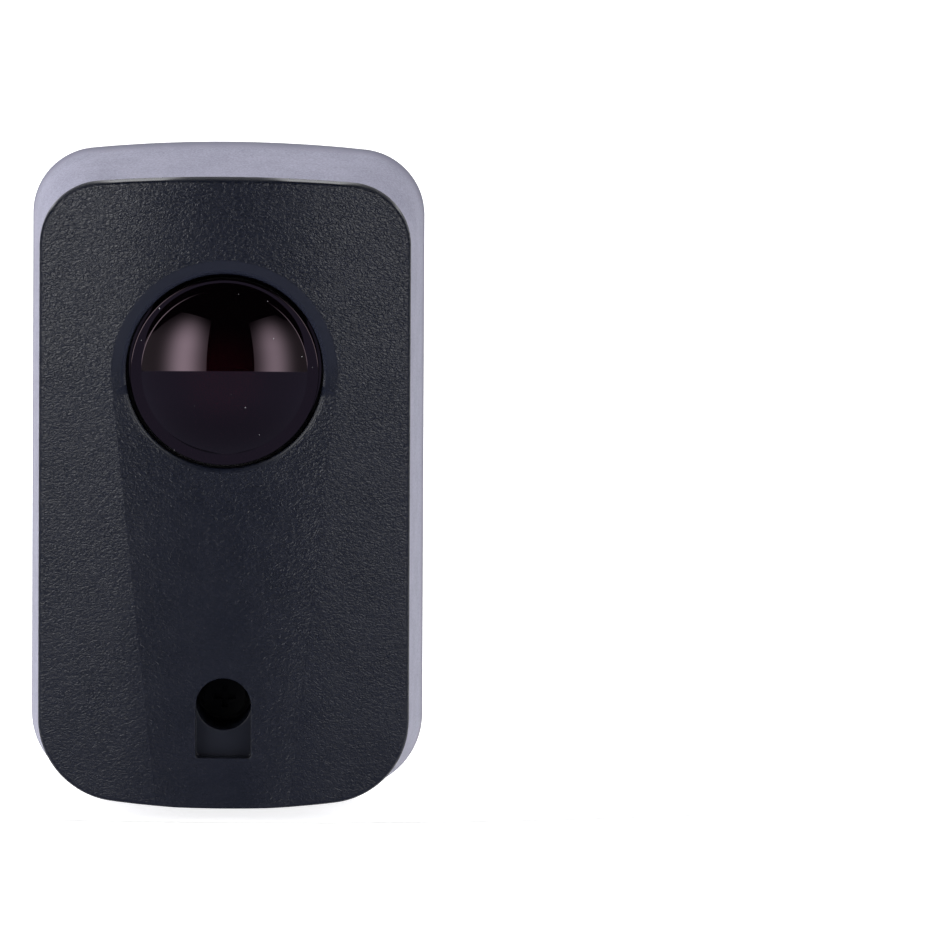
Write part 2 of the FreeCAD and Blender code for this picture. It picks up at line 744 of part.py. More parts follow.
hook_arm = new_sketch(cover, "hook_arm_outline", "XZ_Plane", hook_tip)
add_rectangle(
    hook_arm, -size("hook_half_width"), size("hook_half_width"), hook_top - size("skirt_wall"),
    hook_top - size("hook_gap") / 2,
)
add_feature(cover, "Pad", "hook_arm", hook_arm, size("hook_reach") + size("skirt_depth"))
hook_lip = new_sketch(cover, "hook_lip_outline", "XZ_Plane", hook_tip)
add_rectangle(
    hook_lip, -size("hook_half_width"), size("hook_half_width"), hook_top - size("skirt_wall"),
    hook_top + size("hook_lip_rise"),
)
add_feature(cover, "Pad", "hook_lip", hook_lip, size("hook_lip_thickness"))


# Seals: the ring in the housing's rebate, the ring behind the cover's dish and the washer under the screw

seal = new_body("cover_seal")
seal_ring = new_sketch(seal, "seal_outlines", "XZ_Plane", rim - size("seal_depth"))
add_cover_outline(seal_ring, size("rim_land") + size("seal_gap"))
add_cover_outline(seal_ring, size("housing_wall"))
add_feature(seal, "Pad", "seal_pad", seal_ring, size("seal_depth"))

flange_front = lens_seat - size("lens_seal_thickness")
flange_back = flange_front - size("lens_flange_thickness")
flange_radius = size("lens_hole_radius") + size("lens_flange_overlap")
rim_radius = size("lens_hole_radius") - size("lens_gap")
turned(
    "lens_seal",
    ZERO,
    lens_up,
    [
        (flange_front, rim_radius + size("lens_seal_gap")),
        (flange_front, flange_radius),
        (lens_seat, flange_radius),
        (lens_seat, rim_radius + size("lens_seal_gap")),
    ],
)
seal_radius = size("well_radius") - size("screw_seal_gap")
turned(
    "cover_screw_seal",
    ZERO,
    screw_up,
    [
        (size("boss_height") + size("well_web"), size("screw_radius") + size("screw_gap")),
        (size("boss_height") + size("well_web"), seal_radius),
        (head_seat, seal_radius),
        (head_seat, size("screw_radius") + size("screw_gap")),
    ],
)


# Lens: a flat rim with a dome that rises from it, a flange behind the cover and a bulged back

dome_radius = rim_radius - size("dome_inset")
rim_front = rim + size("lens_rim_front")
back_radius = dome_radius - size("lens_back_margin")


def on_rim_front(edge, radius):
    """True for the circle of that radius on the front of the lens rim."""
    level = all(abs(vertex.Y + rim_front.number) < SAME_PLACE for vertex in edge.Vertexes)
    return level and abs(getattr(edge.Curve, "Radius", 0) - radius) < SAME_PLACE


lens = turned(
    "lens",
    ZERO,
    lens_up,
    [
        (flange_back - size("lens_back_bulge"), ZERO, True),
        (flange_back, back_radius),
        (flange_back, flange_radius),
        (flange_front, flange_radius),
        (flange_front, rim_radius),
        (rim_front, rim_radius),
        (rim_front, dome_radius, True),
        (rim_front + size("dome_rise"), ZERO),
    ],
)
for name, radius, ring in (
    ("lens_rim_rounding", size("lens_rim_round"), rim_radius.number),
    ("dome_foot_rounding", size("dome_foot_round"), dome_radius.number),
):
    round_edges(lens, name, radius, lambda edge: on_rim_front(edge, ring))


# Barrel: a flared tube that stands on the board and presses on the back of the lens flange

foot_radius = size("barrel_foot_radius")
foot_top = board_front + size("barrel_foot_height")
collar_back = flange_back - size("barrel_collar")
collar_radius = size("barrel_collar_radius")
turned(
    "optic_barrel",
    ZERO,
    lens_up,
    [
        (board_front, foot_radius - size("barrel_wall")),
        (board_front, foot_radius),
        (foot_top, foot_radius),
        (collar_back, collar_radius),
        (flange_back, collar_radius),
        (flange_back, collar_radius - size("barrel_collar_wall")),
        (collar_back, collar_radius - size("barrel_collar_wall")),
        (foot_top, foot_radius - size("barrel_wall")),
    ],
)


# Screws: a shank, a head and a cross drive

def cross_screw(label, across, up, tip, seat, shank_radius, head_radius, head_height):
    screw = turned(
        label,
        across,
        up,
        [
            (tip, ZERO),
            (tip, shank_radius),
            (seat, shank_radius),
            (seat, head_radius),
            (seat + head_height, head_radius),
            (seat + head_height, ZERO),
        ],
    )
    share = head_radius / (size("well_radius") - size("screw_head_gap"))
    long_half = size("drive_length") * share / 2
    short_half = size("drive_width") * share / 2
    for name, half_across, half_up in (("flat", long_half, short_half), ("upright", short_half, long_half)):
        drive = new_sketch(screw, f"{label}_{name}_drive", "XZ_Plane", seat + head_height)
        add_rectangle(drive, -half_across, half_across, -half_up, half_up)
        add_feature(screw, "Pocket", f"{label}_{name}_slot", drive, size("drive_depth") * share)
    return screw


cross_screw(
    "cover_screw",
    ZERO,
    screw_up,
    screw_tip,
    head_seat,
    size("screw_radius"),
    size("well_radius") - size("screw_head_gap"),
    size("screw_head_height"),
)
board_screws = [
    cross_screw(
        f"board_screw_{index}",
        board_hole_across * side,
        up,
        floor + size("pilot_floor"),
        board_front,
        size("board_screw_radius"),
        size("board_screw_head_radius"),
        size("board_screw_head_height"),
    )
    for index, (side, up) in enumerate(board_holes, start=1)
]
combine("Part::Compound", "board_screws", board_screws)


# Cable grommet: two flanges that grip the back wall, and the cable's bore

bore = size("grommet_bore_radius")
neck = size("cable_hole_radius") - size("grommet_gap")
turned(
    "cable_grommet",
    size("cable_side"),
    cable_up,
    [
        (size("grommet_gap"), bore),
        (size("grommet_gap"), grommet_radius),
        (size("grommet_back_thickness"), grommet_radius),
        (size("grommet_back_thickness"), neck),
        (floor, neck),
        (floor, grommet_radius),
        (floor + size("grommet_front_thickness"), neck),
        (floor + size("grommet_front_thickness"), bore),
    ],
)


# Circuit board with its four screw holes

board = new_body("circuit_board")
board_outline = new_sketch(board, "board_outline", "XZ_Plane", board_seat)
add_rectangle(board_outline, -board_half_width, board_half_width, board_low, board_top)
board_hole_radius = size("board_screw_radius") + size("board_screw_gap")
for side, up in board_holes:
    add_circle(board_outline, board_hole_across * side, up, board_hole_radius)
add_feature(board, "Pad", "board_sheet", board_outline, size("board_thickness"))


# Photodiode at the foot of the barrel, its window towards the lens

diode_body = block(
    "photodiode_body", ZERO, lens_up, board_front, size("photodiode_width"), size("photodiode_length"),
    size("photodiode_height"),
)
diode_window = block(
    "photodiode_window_cut",
    ZERO,
    lens_up,
    board_front + size("photodiode_height") - size("photodiode_window_depth"),
    size("photodiode_window"),
    size("photodiode_window"),
    size("photodiode_window_depth"),
)
cut("photodiode", diode_body, [diode_window])


# Terminal block at the board's lower edge, with a wire entry, a clamp and a screw for each way

terminal_width = size("terminal_pitch") * TERMINALS
terminal_up = board_low + size("terminal_depth") / 2
entry_up = board_low + size("terminal_entry_depth") / 2
entry_depth = board_front + size("terminal_entry_floor")
terminal_top = board_front + size("terminal_height")
well_floor = terminal_top - size("terminal_screw_sink") - size("terminal_screw_height")
terminal_cuts = []
terminal_screws = []
terminal_clamps = []
for index in range(TERMINALS):
    across = size("terminal_pitch") * (index - (TERMINALS - 1) / 2)
    entry = size("terminal_entry")
    terminal_cuts.append(
        block(f"entry_{index}", across, entry_up, entry_depth, entry, size("terminal_entry_depth"), entry)
    )
    terminal_cuts.append(
        rod(
            f"terminal_well_{index}", across, terminal_up, well_floor, size("terminal_well_radius"),
            terminal_top - well_floor,
        )
    )
    terminal_screws.append(
        rod(
            f"terminal_screw_{index}", across, terminal_up, well_floor, size("terminal_screw_radius"),
            size("terminal_screw_height"),
        )
    )
    cage = entry - size("terminal_clamp_gap") * 2
    cage_hole = cage - size("terminal_clamp_wall") * 2
    cage_length = size("terminal_entry_depth") - size("terminal_clamp_wall")
    cage_up = entry_up + size("terminal_clamp_wall") / 2
    cage_body = block(f"cage_{index}", across, cage_up, entry_depth, cage, cage_length, cage)
    bore_depth = entry_depth + size("terminal_clamp_wall")
    cage_bore = block(f"cage_bore_{index}", across, cage_up, bore_depth, cage_hole, cage_length, cage_hole)
    terminal_clamps.append(cut(f"terminal_clamp_{index}", cage_body, [cage_bore]))
terminal_body = block(
    "terminal_body", ZERO, terminal_up, board_front, terminal_width, size("terminal_depth"),
    size("terminal_height"),
)
cut("terminal_block", terminal_body, terminal_cuts)
combine("Part::Compound", "terminal_screws", terminal_screws)
combine("Part::Compound", "terminal_clamps", terminal_clamps)


# Relay above the terminals and beside the rectifier, a sealed case with rounded upright edges

relay_up = board_low + size("terminal_depth") + size("part_gap") + size("relay_length") / 2
relay = new_body("relay")
relay_outline = new_sketch(relay, "relay_outline", "XZ_Plane", board_front)
relay_half = size("relay_width") / 2
relay_half_length = size("relay_length") / 2
add_rectangle(relay_outline, -relay_half, relay_half, -relay_half_length, relay_half_length)
add_feature(relay, "Pad", "relay_case", relay_outline, size("relay_height"))
relay_top = -(board_front.number + size("relay_height").number)
round_edges(
    relay,
    "relay_rounding",
    size("relay_round"),
    lambda edge: all(abs(vertex.Y - relay_top) < SAME_PLACE for vertex in edge.Vertexes),
)
column_left = board_half_width - size("edge_gap") - size("rectifier_width")
place(relay, column_left - size("relay_gap") - relay_half, ZERO, relay_up)


# Rectifier and regulator in a column along the board's right edge

column_low = board_low + size("board_hole_inset") * 2 + size("part_gap")
rectifier_across = board_half_width - size("edge_gap") - size("rectifier_width") / 2
rectifier_up = column_low + size("rectifier_length") / 2
block(
    "bridge_rectifier", rectifier_across, rectifier_up, board_front, size("rectifier_width"),
    size("rectifier_length"), size("rectifier_height"),
)
regulator_across = board_half_width - size("edge_gap") - size("regulator_width") / 2
regulator_up = column_low + size("rectifier_length") + size("part_gap") + size("regulator_length") / 2
block(
    "voltage_regulator", regulator_across, regulator_up, board_front, size("regulator_width"),
    size("regulator_length"), size("regulator_height"),
)


# Electrolytic capacitors: cans with a crimped neck near the board

def can(label, across, up, radius, height):
    neck_radius = radius - size("capacitor_crimp")
    crimp = size("capacitor_crimp_height")
    turned(
        label,
        across,
        up,
        [
            (board_front, ZERO),
            (board_front, radius),
            (board_front + crimp, radius),
            (board_front + crimp + size("capacitor_crimp"), neck_radius),
            (board_front + crimp + size("capacitor_crimp") * 2, radius),
            (board_front + height, radius),
            (board_front + height, ZERO),
        ],
    )


supply_radius = size("supply_capacitor_radius")
supply_across = -(board_half_width - size("edge_gap") - supply_radius)
supply_up = column_low + supply_radius
can("supply_capacitor", supply_across, supply_up, supply_radius, size("supply_capacitor_height"))
filter_radius = size("filter_capacitor_radius")
filter_across = -size("filter_capacitor_side")
filter_up = board_low + size("terminal_depth") + size("part_gap") + filter_radius
can("filter_capacitor", filter_across, filter_up, filter_radius, size("filter_capacitor_height"))


# Controller chip: a flat case with a row of pins down each side

chip_across = -(board_half_width - size("edge_gap") - size("chip_pin_reach") - size("chip_width") / 2)
chip_up = board_top - size("chip_drop")
chip_pieces = [
    block(
        "chip_case", chip_across, chip_up, board_front + size("chip_standoff"), size("chip_width"),
        size("chip_length"), size("chip_thickness"),
    )
]
for side in (-1, 1):
    for index in range(CHIP_PINS_PER_SIDE):
        pin_across = chip_across + (size("chip_width") + size("chip_pin_reach")) / 2 * side
        pin_up = chip_up + size("chip_pin_pitch") * (index - (CHIP_PINS_PER_SIDE - 1) / 2)
        chip_pieces.append(
            block(
                f"chip_pin_{side}_{index}", pin_across, pin_up, board_front, size("chip_pin_reach"),
                size("chip_pin_width"), size("chip_pin_thickness"),
            )
        )
combine("Part::MultiFuse", "controller_chip", chip_pieces)


# Jumper: a base with three pins, and a cap over two of them

jumper_across = -(board_half_width - size("edge_gap") - size("jumper_base_width"))
jumper_up = board_top - size("jumper_drop")
pin_width = size("jumper_pin_width")
base_length = size("jumper_pitch") * JUMPER_PINS
cap_depth = board_front + size("jumper_base_thickness")
cap_up = jumper_up + size("jumper_pitch") / 2
jumper_pins = []
base_cuts = []
cap_cuts = []
for index in range(JUMPER_PINS):
    pin_up = jumper_up + size("jumper_pitch") * (index - (JUMPER_PINS - 1) / 2)
    jumper_pins.append(
        block(
            f"jumper_pin_{index}", jumper_across, pin_up, board_front, pin_width, pin_width,
            size("jumper_pin_length"),
        )
    )
    hole = pin_width + size("jumper_cap_gap") * 2
    base_thickness = size("jumper_base_thickness")
    base_cuts.append(
        block(f"base_hole_{index}", jumper_across, pin_up, board_front, hole, hole, base_thickness)
    )
    cap_thickness = size("jumper_cap_thickness")
    cap_cuts.append(block(f"cap_hole_{index}", jumper_across, pin_up, cap_depth, hole, hole, cap_thickness))
base_body = block(
    "jumper_base_body", jumper_across, jumper_up, board_front, size("jumper_base_width"), base_length,
    size("jumper_base_thickness"),
)
cut("jumper_base", base_body, base_cuts)
cap_body = block(
    "jumper_cap_body", jumper_across, cap_up, cap_depth, size("jumper_base_width"), size("jumper_cap_length"),
    size("jumper_cap_thickness"),
)
cut("jumper_cap", cap_body, cap_cuts)
combine("Part::Compound", "jumper_pins", jumper_pins)


# Status light: a rimmed cylinder with a round end

led_radius = size("led_radius")
led_across = board_half_width - size("edge_gap") - led_radius - size("part_gap")
led_end = board_front + size("led_height")
turned(
    "status_led",
    led_across,
    board_top - size("led_drop"),
    [
        (board_front, ZERO),
        (board_front, led_radius + size("led_rim")),
        (board_front + size("led_rim_thickness"), led_radius + size("led_rim")),
        (board_front + size("led_rim_thickness"), led_radius),
        (led_end - led_radius, led_radius, True),
        (led_end, ZERO),
    ],
)


# Chip resistors in two columns by the right edge, chip capacitors in a row above the barrel

resistors = []
for column in range(2):
    for row in range(RESISTOR_ROWS):
        column_across = board_half_width - size("edge_gap") - size("smd_length") / 2
        across = column_across - size("resistor_pitch") * column
        up = board_top - size("resistor_drop") + size("resistor_pitch") * row
        resistors.append(
            block(
                f"resistor_{column}_{row}", across, up, board_front, size("smd_length"), size("smd_width"),
                size("resistor_thickness"),
            )
        )
combine("Part::Compound", "chip_resistors", resistors)
capacitors = []
for index in range(CHIP_CAPACITORS):
    across = size("capacitor_pitch") * (index - (CHIP_CAPACITORS - 1) / 2)
    capacitors.append(
        block(
            f"chip_capacitor_{index}", across, board_top - size("capacitor_row_drop"), board_front,
            size("smd_length"), size("smd_width"), size("capacitor_thickness"),
        )
    )
combine("Part::Compound", "chip_capacitors", capacitors)


# Every sub-part that stands by itself, checked and written under its label

NODES = [
    "rear_housing", "front_cover", "cover_seal", "lens", "lens_seal", "optic_barrel", "cover_screw",
    "cover_screw_seal", "cable_grommet", "circuit_board", "board_screws", "photodiode", "terminal_block",
    "terminal_screws", "terminal_clamps", "relay", "supply_capacitor", "filter_capacitor", "bridge_rectifier",
    "voltage_regulator", "controller_chip", "jumper_base", "jumper_pins", "jumper_cap", "status_led",
    "chip_resistors", "chip_capacitors",
]
doc.recompute()
failed = [item.Name for item in doc.Objects if "Invalid" in item.State or "Error" in item.State]
if failed:
    raise RuntimeError(f"features failed: {failed}")
os.makedirs("parts", exist_ok=True)
shapes = {}
for node in NODES:
    shape = doc.getObjectsByLabel(node)[0].Shape
    if shape.isNull() or not shape.isValid() or not shape.Solids:
        raise RuntimeError(f"{node} has no valid solid")
    shapes[node] = shape
for node, shape in shapes.items():
    shape.exportStep(f"parts/{node}.step")
    print(node, len(shape.Solids), round(shape.Volume, 2))
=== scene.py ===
import bmesh
import bpy
import math
from mathutils import Matrix, Quaternion, Vector


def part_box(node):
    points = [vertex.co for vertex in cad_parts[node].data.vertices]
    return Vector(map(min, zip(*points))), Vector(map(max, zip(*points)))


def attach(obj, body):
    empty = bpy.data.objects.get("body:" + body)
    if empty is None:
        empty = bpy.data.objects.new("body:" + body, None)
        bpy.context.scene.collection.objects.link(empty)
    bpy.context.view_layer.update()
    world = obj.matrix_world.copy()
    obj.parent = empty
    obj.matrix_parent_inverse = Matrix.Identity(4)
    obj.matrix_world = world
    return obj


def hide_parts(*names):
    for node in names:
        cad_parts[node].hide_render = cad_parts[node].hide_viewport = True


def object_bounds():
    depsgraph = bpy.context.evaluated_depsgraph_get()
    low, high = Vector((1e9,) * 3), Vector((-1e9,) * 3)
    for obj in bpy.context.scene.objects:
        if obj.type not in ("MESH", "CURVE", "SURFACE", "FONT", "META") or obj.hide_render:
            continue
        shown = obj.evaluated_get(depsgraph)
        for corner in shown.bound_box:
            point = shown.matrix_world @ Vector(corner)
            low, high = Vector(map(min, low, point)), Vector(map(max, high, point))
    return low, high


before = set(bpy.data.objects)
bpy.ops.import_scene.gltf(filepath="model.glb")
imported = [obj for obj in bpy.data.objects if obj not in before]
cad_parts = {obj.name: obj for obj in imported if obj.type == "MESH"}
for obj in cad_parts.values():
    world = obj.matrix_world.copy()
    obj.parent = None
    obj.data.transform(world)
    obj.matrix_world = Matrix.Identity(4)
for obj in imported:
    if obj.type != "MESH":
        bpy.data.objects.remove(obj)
cad_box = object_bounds()


# Rear housing: the pale lilac-grey box that is screwed to the wall and holds everything else.
# It is injection-moulded ABS, drafted towards the front. The mould was spark-eroded, which leaves a fine
# even speckle and no gloss. The darker band along the rim at the wall is painted shade, where that edge
# turns away from the light.

MILLIMETRE = 0.001
LILAC_GREY = (0.262, 0.261, 0.348, 1)
LILAC_GREY_PALE = (0.432, 0.429, 0.540, 1)
RIM_SHADE_GREY = (0.190, 0.188, 0.250, 1)
EDGE_REACH = 3.6 * MILLIMETRE
SPECKLE_LUMPS = 2800
SPECKLE_DEPTH = 0.035 * MILLIMETRE
SPECKLE_SHARE = 0.8
TONE_LUMPS = 160
HOUSING_ROUGH = 0.56
HOUSING_ROUGH_SPREAD = 0.14


class Wire:
    """One output of a node. Arithmetic on it adds Math nodes to the same material."""

    def __init__(self, socket):
        self.socket = socket

    def add(self, kind, settings, sockets, output=0):
        """A node of any kind: its settings first, then the values or links of its sockets."""
        tree = self.socket.id_data
        node = tree.nodes.new(kind)
        for name, value in settings.items():
            setattr(node, name, value)
        feed(node, sockets)
        return Wire(node.outputs[output])

    def output(self, name):
        """Another output of the same node."""
        return Wire(self.socket.node.outputs[name])

    def math(self, operation, *values):
        return self.add("ShaderNodeMath", {"operation": operation}, dict(enumerate(values)))

    def __add__(self, other):
        return self.math("ADD", self, other)

    __radd__ = __add__

    def __sub__(self, other):
        return self.math("SUBTRACT", self, other)

    def __rsub__(self, other):
        return self.math("SUBTRACT", other, self)

    def __mul__(self, other):
        return self.math("MULTIPLY", self, other)

    __rmul__ = __mul__

    def __truediv__(self, other):
        return self.math("DIVIDE", self, other)

    def __pow__(self, other):
        return self.math("POWER", self, other)

    def size(self):
        """The value without its sign."""
        return self.math("ABSOLUTE", self)

    def rise(self, low, high):
        """A smooth step from 0 at low to 1 at high."""
        return self.add(
            "ShaderNodeMapRange",
            {"interpolation_type": "SMOOTHSTEP"},
            {"Value": self, "From Min": low, "From Max": high},
        )

    def between(self, first, second):
        """The colour that lies between two colours by this share."""
        colours = {0: self, 6: first, 7: second}
        return self.add("ShaderNodeMix", {"data_type": "RGBA"}, colours, output=2)

    def noise(self, scale, detail=2.0, roughness=0.5, distortion=0.0):
        """Cloudy noise on this place, with scale in lumps per metre."""
        sockets = {
            "Vector": self,
            "Scale": scale,
            "Detail": detail,
            "Roughness": roughness,
            "Distortion": distortion,
        }
        return self.add("ShaderNodeTexNoise", {}, sockets)

    def relief(self, distance, strength=1.0, **under):
        """The surface's direction when this height stands on it, for a distance in metres."""
        sockets = {"Height": self, "Distance": distance, "Strength": strength, **under}
        return self.add("ShaderNodeBump", {}, sockets)

    def worn_edges(self, radius):
        """The surface's direction with its sharp edges rounded."""
        return self.add("ShaderNodeBevel", {"samples": 6}, {"Radius": radius})

    def split(self):
        """The across, back and up parts of a place."""
        across = self.add("ShaderNodeSeparateXYZ", {}, {"Vector": self})
        return across, across.output("Y"), across.output("Z")


def feed(node, sockets):
    """Sets or links the sockets of a node."""
    for name, value in sockets.items():
        if isinstance(value, Wire):
            node.id_data.links.new(value.socket, node.inputs[name])
        else:
            node.inputs[name].default_value = value


def new_finish(name):
    """A bare material, its shader, and the place on the surface in metres."""
    material = bpy.data.materials.new(name)
    material.use_nodes = True
    tree = material.node_tree
    place = Wire(tree.nodes.new("ShaderNodeTexCoord").outputs["Object"])
    return material, tree.nodes["Principled BSDF"], place


def dress(material, *nodes):
    """Gives CAD nodes a material."""
    for node in nodes:
        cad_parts[node].material_slots[0].material = material


housing_finish, housing_shader, place = new_finish("spark_eroded_lilac_grey")
speckle = place.noise(SPECKLE_LUMPS, detail=3, roughness=0.65)
cloud = place.noise(TONE_LUMPS, detail=2)
tone = speckle.rise(0.3, 0.7) * SPECKLE_SHARE + cloud.rise(0.35, 0.65) * (1 - SPECKLE_SHARE)
grey = tone.between(LILAC_GREY, LILAC_GREY_PALE)
facing_back = place.output("Normal").split()[1].rise(0.7, 0.95)
# Painted shade: the colour darkens in a band along the back rim, where the rounded edge faces away from
# the light.
near_back = (place.split()[1] + speckle * EDGE_REACH).rise(-EDGE_REACH, EDGE_REACH / 2)
painted_rim_shade = near_back * (1 - facing_back)
feed(
    housing_shader,
    {
        "Base Color": painted_rim_shade.between(grey, RIM_SHADE_GREY),
        "Roughness": HOUSING_ROUGH + speckle * HOUSING_ROUGH_SPREAD,
        "Normal": speckle.relief(SPECKLE_DEPTH, 0.6),
        "Specular IOR Level": 0.35,
    },
)
dress(housing_finish, "rear_housing")


# Rubber pieces: the cable grommet in the back wall, the ring in the rim's rebate, the ring behind the
# lens flange and the washer under the cover screw. They are moulded black rubber, matt and faintly
# dusty with moulding powder, and are held by being squeezed.

RUBBER_BLACK = (0.011, 0.011, 0.012, 1)
RUBBER_BLOOM = (0.026, 0.026, 0.028, 1)
BLOOM_LUMPS = 700
RUBBER_LUMPS = 2600
RUBBER_DEPTH = 0.02 * MILLIMETRE
RUBBER_ROUGH = 0.66

rubber_finish, rubber_shader, place = new_finish("matt_black_rubber")
bloom = place.noise(BLOOM_LUMPS, detail=4, roughness=0.6)
feed(
    rubber_shader,
    {
        "Base Color": bloom.rise(0.4, 0.75).between(RUBBER_BLACK, RUBBER_BLOOM),
        "Roughness": RUBBER_ROUGH + bloom * 0.2,
        "Normal": place.noise(RUBBER_LUMPS).relief(RUBBER_DEPTH, 0.6),
        "Specular IOR Level": 0.4,
    },
)
dress(rubber_finish, "cable_grommet", "cover_seal", "lens_seal", "cover_screw_seal")


# Circuit board: glass-fibre laminate with green solder mask over copper tracks.
# It lies on four standoffs of the housing and is held by four self-tapping screws.

MASK_GREEN = (0.010, 0.085, 0.030, 1)
TRACK_GREEN = (0.030, 0.180, 0.060, 1)
TRACK_PITCH = 1.27 * MILLIMETRE
TRACK_SHARE = 0.34
TRACK_BLUR = 0.04
TRACK_HEIGHT = 0.03 * MILLIMETRE
BEND_LUMPS = 90
TRACKED_LUMPS = 150
MASK_LUMPS = 900
MASK_ROUGH = 0.3

board_finish, board_shader, place = new_finish("green_solder_mask")
across, _, up = place.split()
bend = place.noise(BEND_LUMPS, detail=0).rise(0.45, 0.55)
lanes_up = (across / TRACK_PITCH).math("FRACT", across / TRACK_PITCH)
lanes_across = (up / TRACK_PITCH).math("FRACT", up / TRACK_PITCH)
lane = bend * lanes_up + (1 - bend) * lanes_across
edge = (lane - 0.5).size()
used = place.noise(TRACKED_LUMPS, detail=1).rise(0.46, 0.5)
track = (1 - edge.rise(TRACK_SHARE / 2 - TRACK_BLUR, TRACK_SHARE / 2 + TRACK_BLUR)) * used
feed(
    board_shader,
    {
        "Base Color": track.between(MASK_GREEN, TRACK_GREEN),
        "Roughness": MASK_ROUGH + place.noise(MASK_LUMPS) * 0.12,
        "Normal": track.relief(TRACK_HEIGHT, 0.7),
    },
)
dress(board_finish, "circuit_board")


# Board screws and terminal screws: small steel screws, zinc plated, with a cross drive.
# The plating is bright with a faint turned grain and a duller bloom in places.

ZINC_BRIGHT = (0.62, 0.63, 0.65, 1)
ZINC_DULL = (0.42, 0.43, 0.46, 1)
ZINC_BLOOM_LUMPS = 1200
ZINC_GRAIN_LUMPS = 5200
ZINC_GRAIN_DEPTH = 0.006 * MILLIMETRE
ZINC_ROUGH = 0.24

zinc_finish, zinc_shader, place = new_finish("zinc_plated_steel")
bloom = place.noise(ZINC_BLOOM_LUMPS, detail=3)
feed(
    zinc_shader,
    {
        "Base Color": bloom.rise(0.4, 0.7).between(ZINC_BRIGHT, ZINC_DULL),
        "Roughness": ZINC_ROUGH + bloom * 0.24,
        "Normal": place.noise(ZINC_GRAIN_LUMPS, detail=1).relief(ZINC_GRAIN_DEPTH, 0.5),
        "Metallic": 1.0,
    },
)
dress(zinc_finish, "board_screws", "terminal_screws")


# Moulded parts on the board: the green terminal block, the sealed dark blue relay, the black barrel
# that carries light from the lens to the photodiode, and the jumper's base and blue cap.
# All are injection-moulded and differ in colour, grain and gloss.

MOULDED = {
    "satin_green_terminals": ((0.045, 0.250, 0.085, 1), 0.36, 2200, 0.012, ("terminal_block",)),
    "dark_blue_relay_case": ((0.022, 0.042, 0.095, 1), 0.28, 1500, 0.008, ("relay",)),
    "matt_black_barrel": ((0.009, 0.009, 0.010, 1), 0.68, 2400, 0.030, ("optic_barrel", "jumper_base")),
    "blue_jumper_cap": ((0.022, 0.070, 0.290, 1), 0.34, 2600, 0.010, ("jumper_cap",)),
}
SHADE = 0.72
SHADE_LUMPS = 260


def moulded_finish(name, colour, roughness, lumps, depth):
    """Moulded plastic with a cloudy tone and a fine grain, its depth in millimetres."""
    material, shader, place = new_finish(name)
    shaded = tuple(part * SHADE for part in colour[:3]) + (1,)
    grain = place.noise(lumps, detail=3)
    feed(
        shader,
        {
            "Base Color": place.noise(SHADE_LUMPS).rise(0.3, 0.7).between(shaded, colour),
            "Roughness": roughness + grain * 0.12,
            "Normal": grain.relief(depth * MILLIMETRE, 0.6),
        },
    )
    return material


for name, (colour, roughness, lumps, depth, nodes) in MOULDED.items():
    dress(moulded_finish(name, colour, roughness, lumps, depth), *nodes)


# Terminal cages and jumper pins: brass with bright tin plating.
# The plating is soft and shows small scuffs, with a warmer tone where it is thin.

TIN = (0.66, 0.65, 0.60, 1)
TIN_WORN = (0.62, 0.50, 0.28, 1)
TIN_WEAR_LUMPS = 1500
TIN_WEAR_DEPTH = 0.006 * MILLIMETRE
TIN_ROUGH = 0.22

tin_finish, tin_shader, place = new_finish("tin_plated_brass")
wear = place.noise(TIN_WEAR_LUMPS, detail=4, roughness=0.7)
feed(
    tin_shader,
    {
        "Base Color": wear.rise(0.58, 0.75).between(TIN, TIN_WORN),
        "Roughness": TIN_ROUGH + wear * 0.25,
        "Normal": wear.relief(TIN_WEAR_DEPTH, 0.5),
        "Metallic": 1.0,
    },
)
dress(tin_finish, "terminal_clamps", "jumper_pins")


# Electrolytic capacitors: aluminium cans in a shrunk dark sleeve with a pale stripe down one side.
# The can's bare top shows inside the sleeve's turned-in edge and is scored with a cross as a vent.

SLEEVE = (0.014, 0.018, 0.032, 1)
STRIPE = (0.300, 0.310, 0.330, 1)
CAN_METAL = (0.60, 0.61, 0.62, 1)
SLEEVE_LIP = 0.55 * MILLIMETRE
STRIPE_HALF = 0.9 * MILLIMETRE
SCORE_HALF = 0.12 * MILLIMETRE
SCORE_DEPTH = 0.05 * MILLIMETRE
SLEEVE_LUMPS = 800
SLEEVE_ROUGH = 0.26


def can_finish(node):
    """Dresses one capacitor: sleeve, stripe, bare top and its scored cross."""
    low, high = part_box(node)
    middle = (low + high) / 2
    radius = (high.x - low.x) / 2
    material, shader, place = new_finish(node + "_sleeve")
    across, back, up = place.split()
    side = across - middle.x
    rise = up - middle.z
    reach = (side * side + rise * rise) ** 0.5
    top = 1 - back.rise(low.y + 0.02 * MILLIMETRE, low.y + 0.06 * MILLIMETRE)
    bare = top * (1 - reach.rise(radius - SLEEVE_LIP, radius - SLEEVE_LIP + 0.1 * MILLIMETRE))
    stripe = (1 - side.size().rise(STRIPE_HALF, STRIPE_HALF * 1.1)) * rise.rise(0, 0.2 * MILLIMETRE)
    nearest = (side - rise).size().math("MINIMUM", (side - rise).size(), (side + rise).size())
    score = (1 - nearest.rise(SCORE_HALF, SCORE_HALF * 2)) * bare
    sleeve = stripe.between(SLEEVE, STRIPE)
    wrinkle = place.noise(SLEEVE_LUMPS, detail=2)
    feed(
        shader,
        {
            "Base Color": bare.between(sleeve, CAN_METAL),
            "Metallic": bare,
            "Roughness": SLEEVE_ROUGH + wrinkle * 0.14 + score * 0.2,
            "Normal": (wrinkle * 0.3 - score).relief(SCORE_DEPTH, 0.6),
        },
    )
    dress(material, node)


can_finish("supply_capacitor")
can_finish("filter_capacitor")


# Resin parts and chip parts: the rectifier, the regulator, the controller chip with its tinned pins,
# and the chip resistors and ceramic chip capacitors with their soldered silver ends.
# They are pressed or fired blocks, soldered flat on the board.

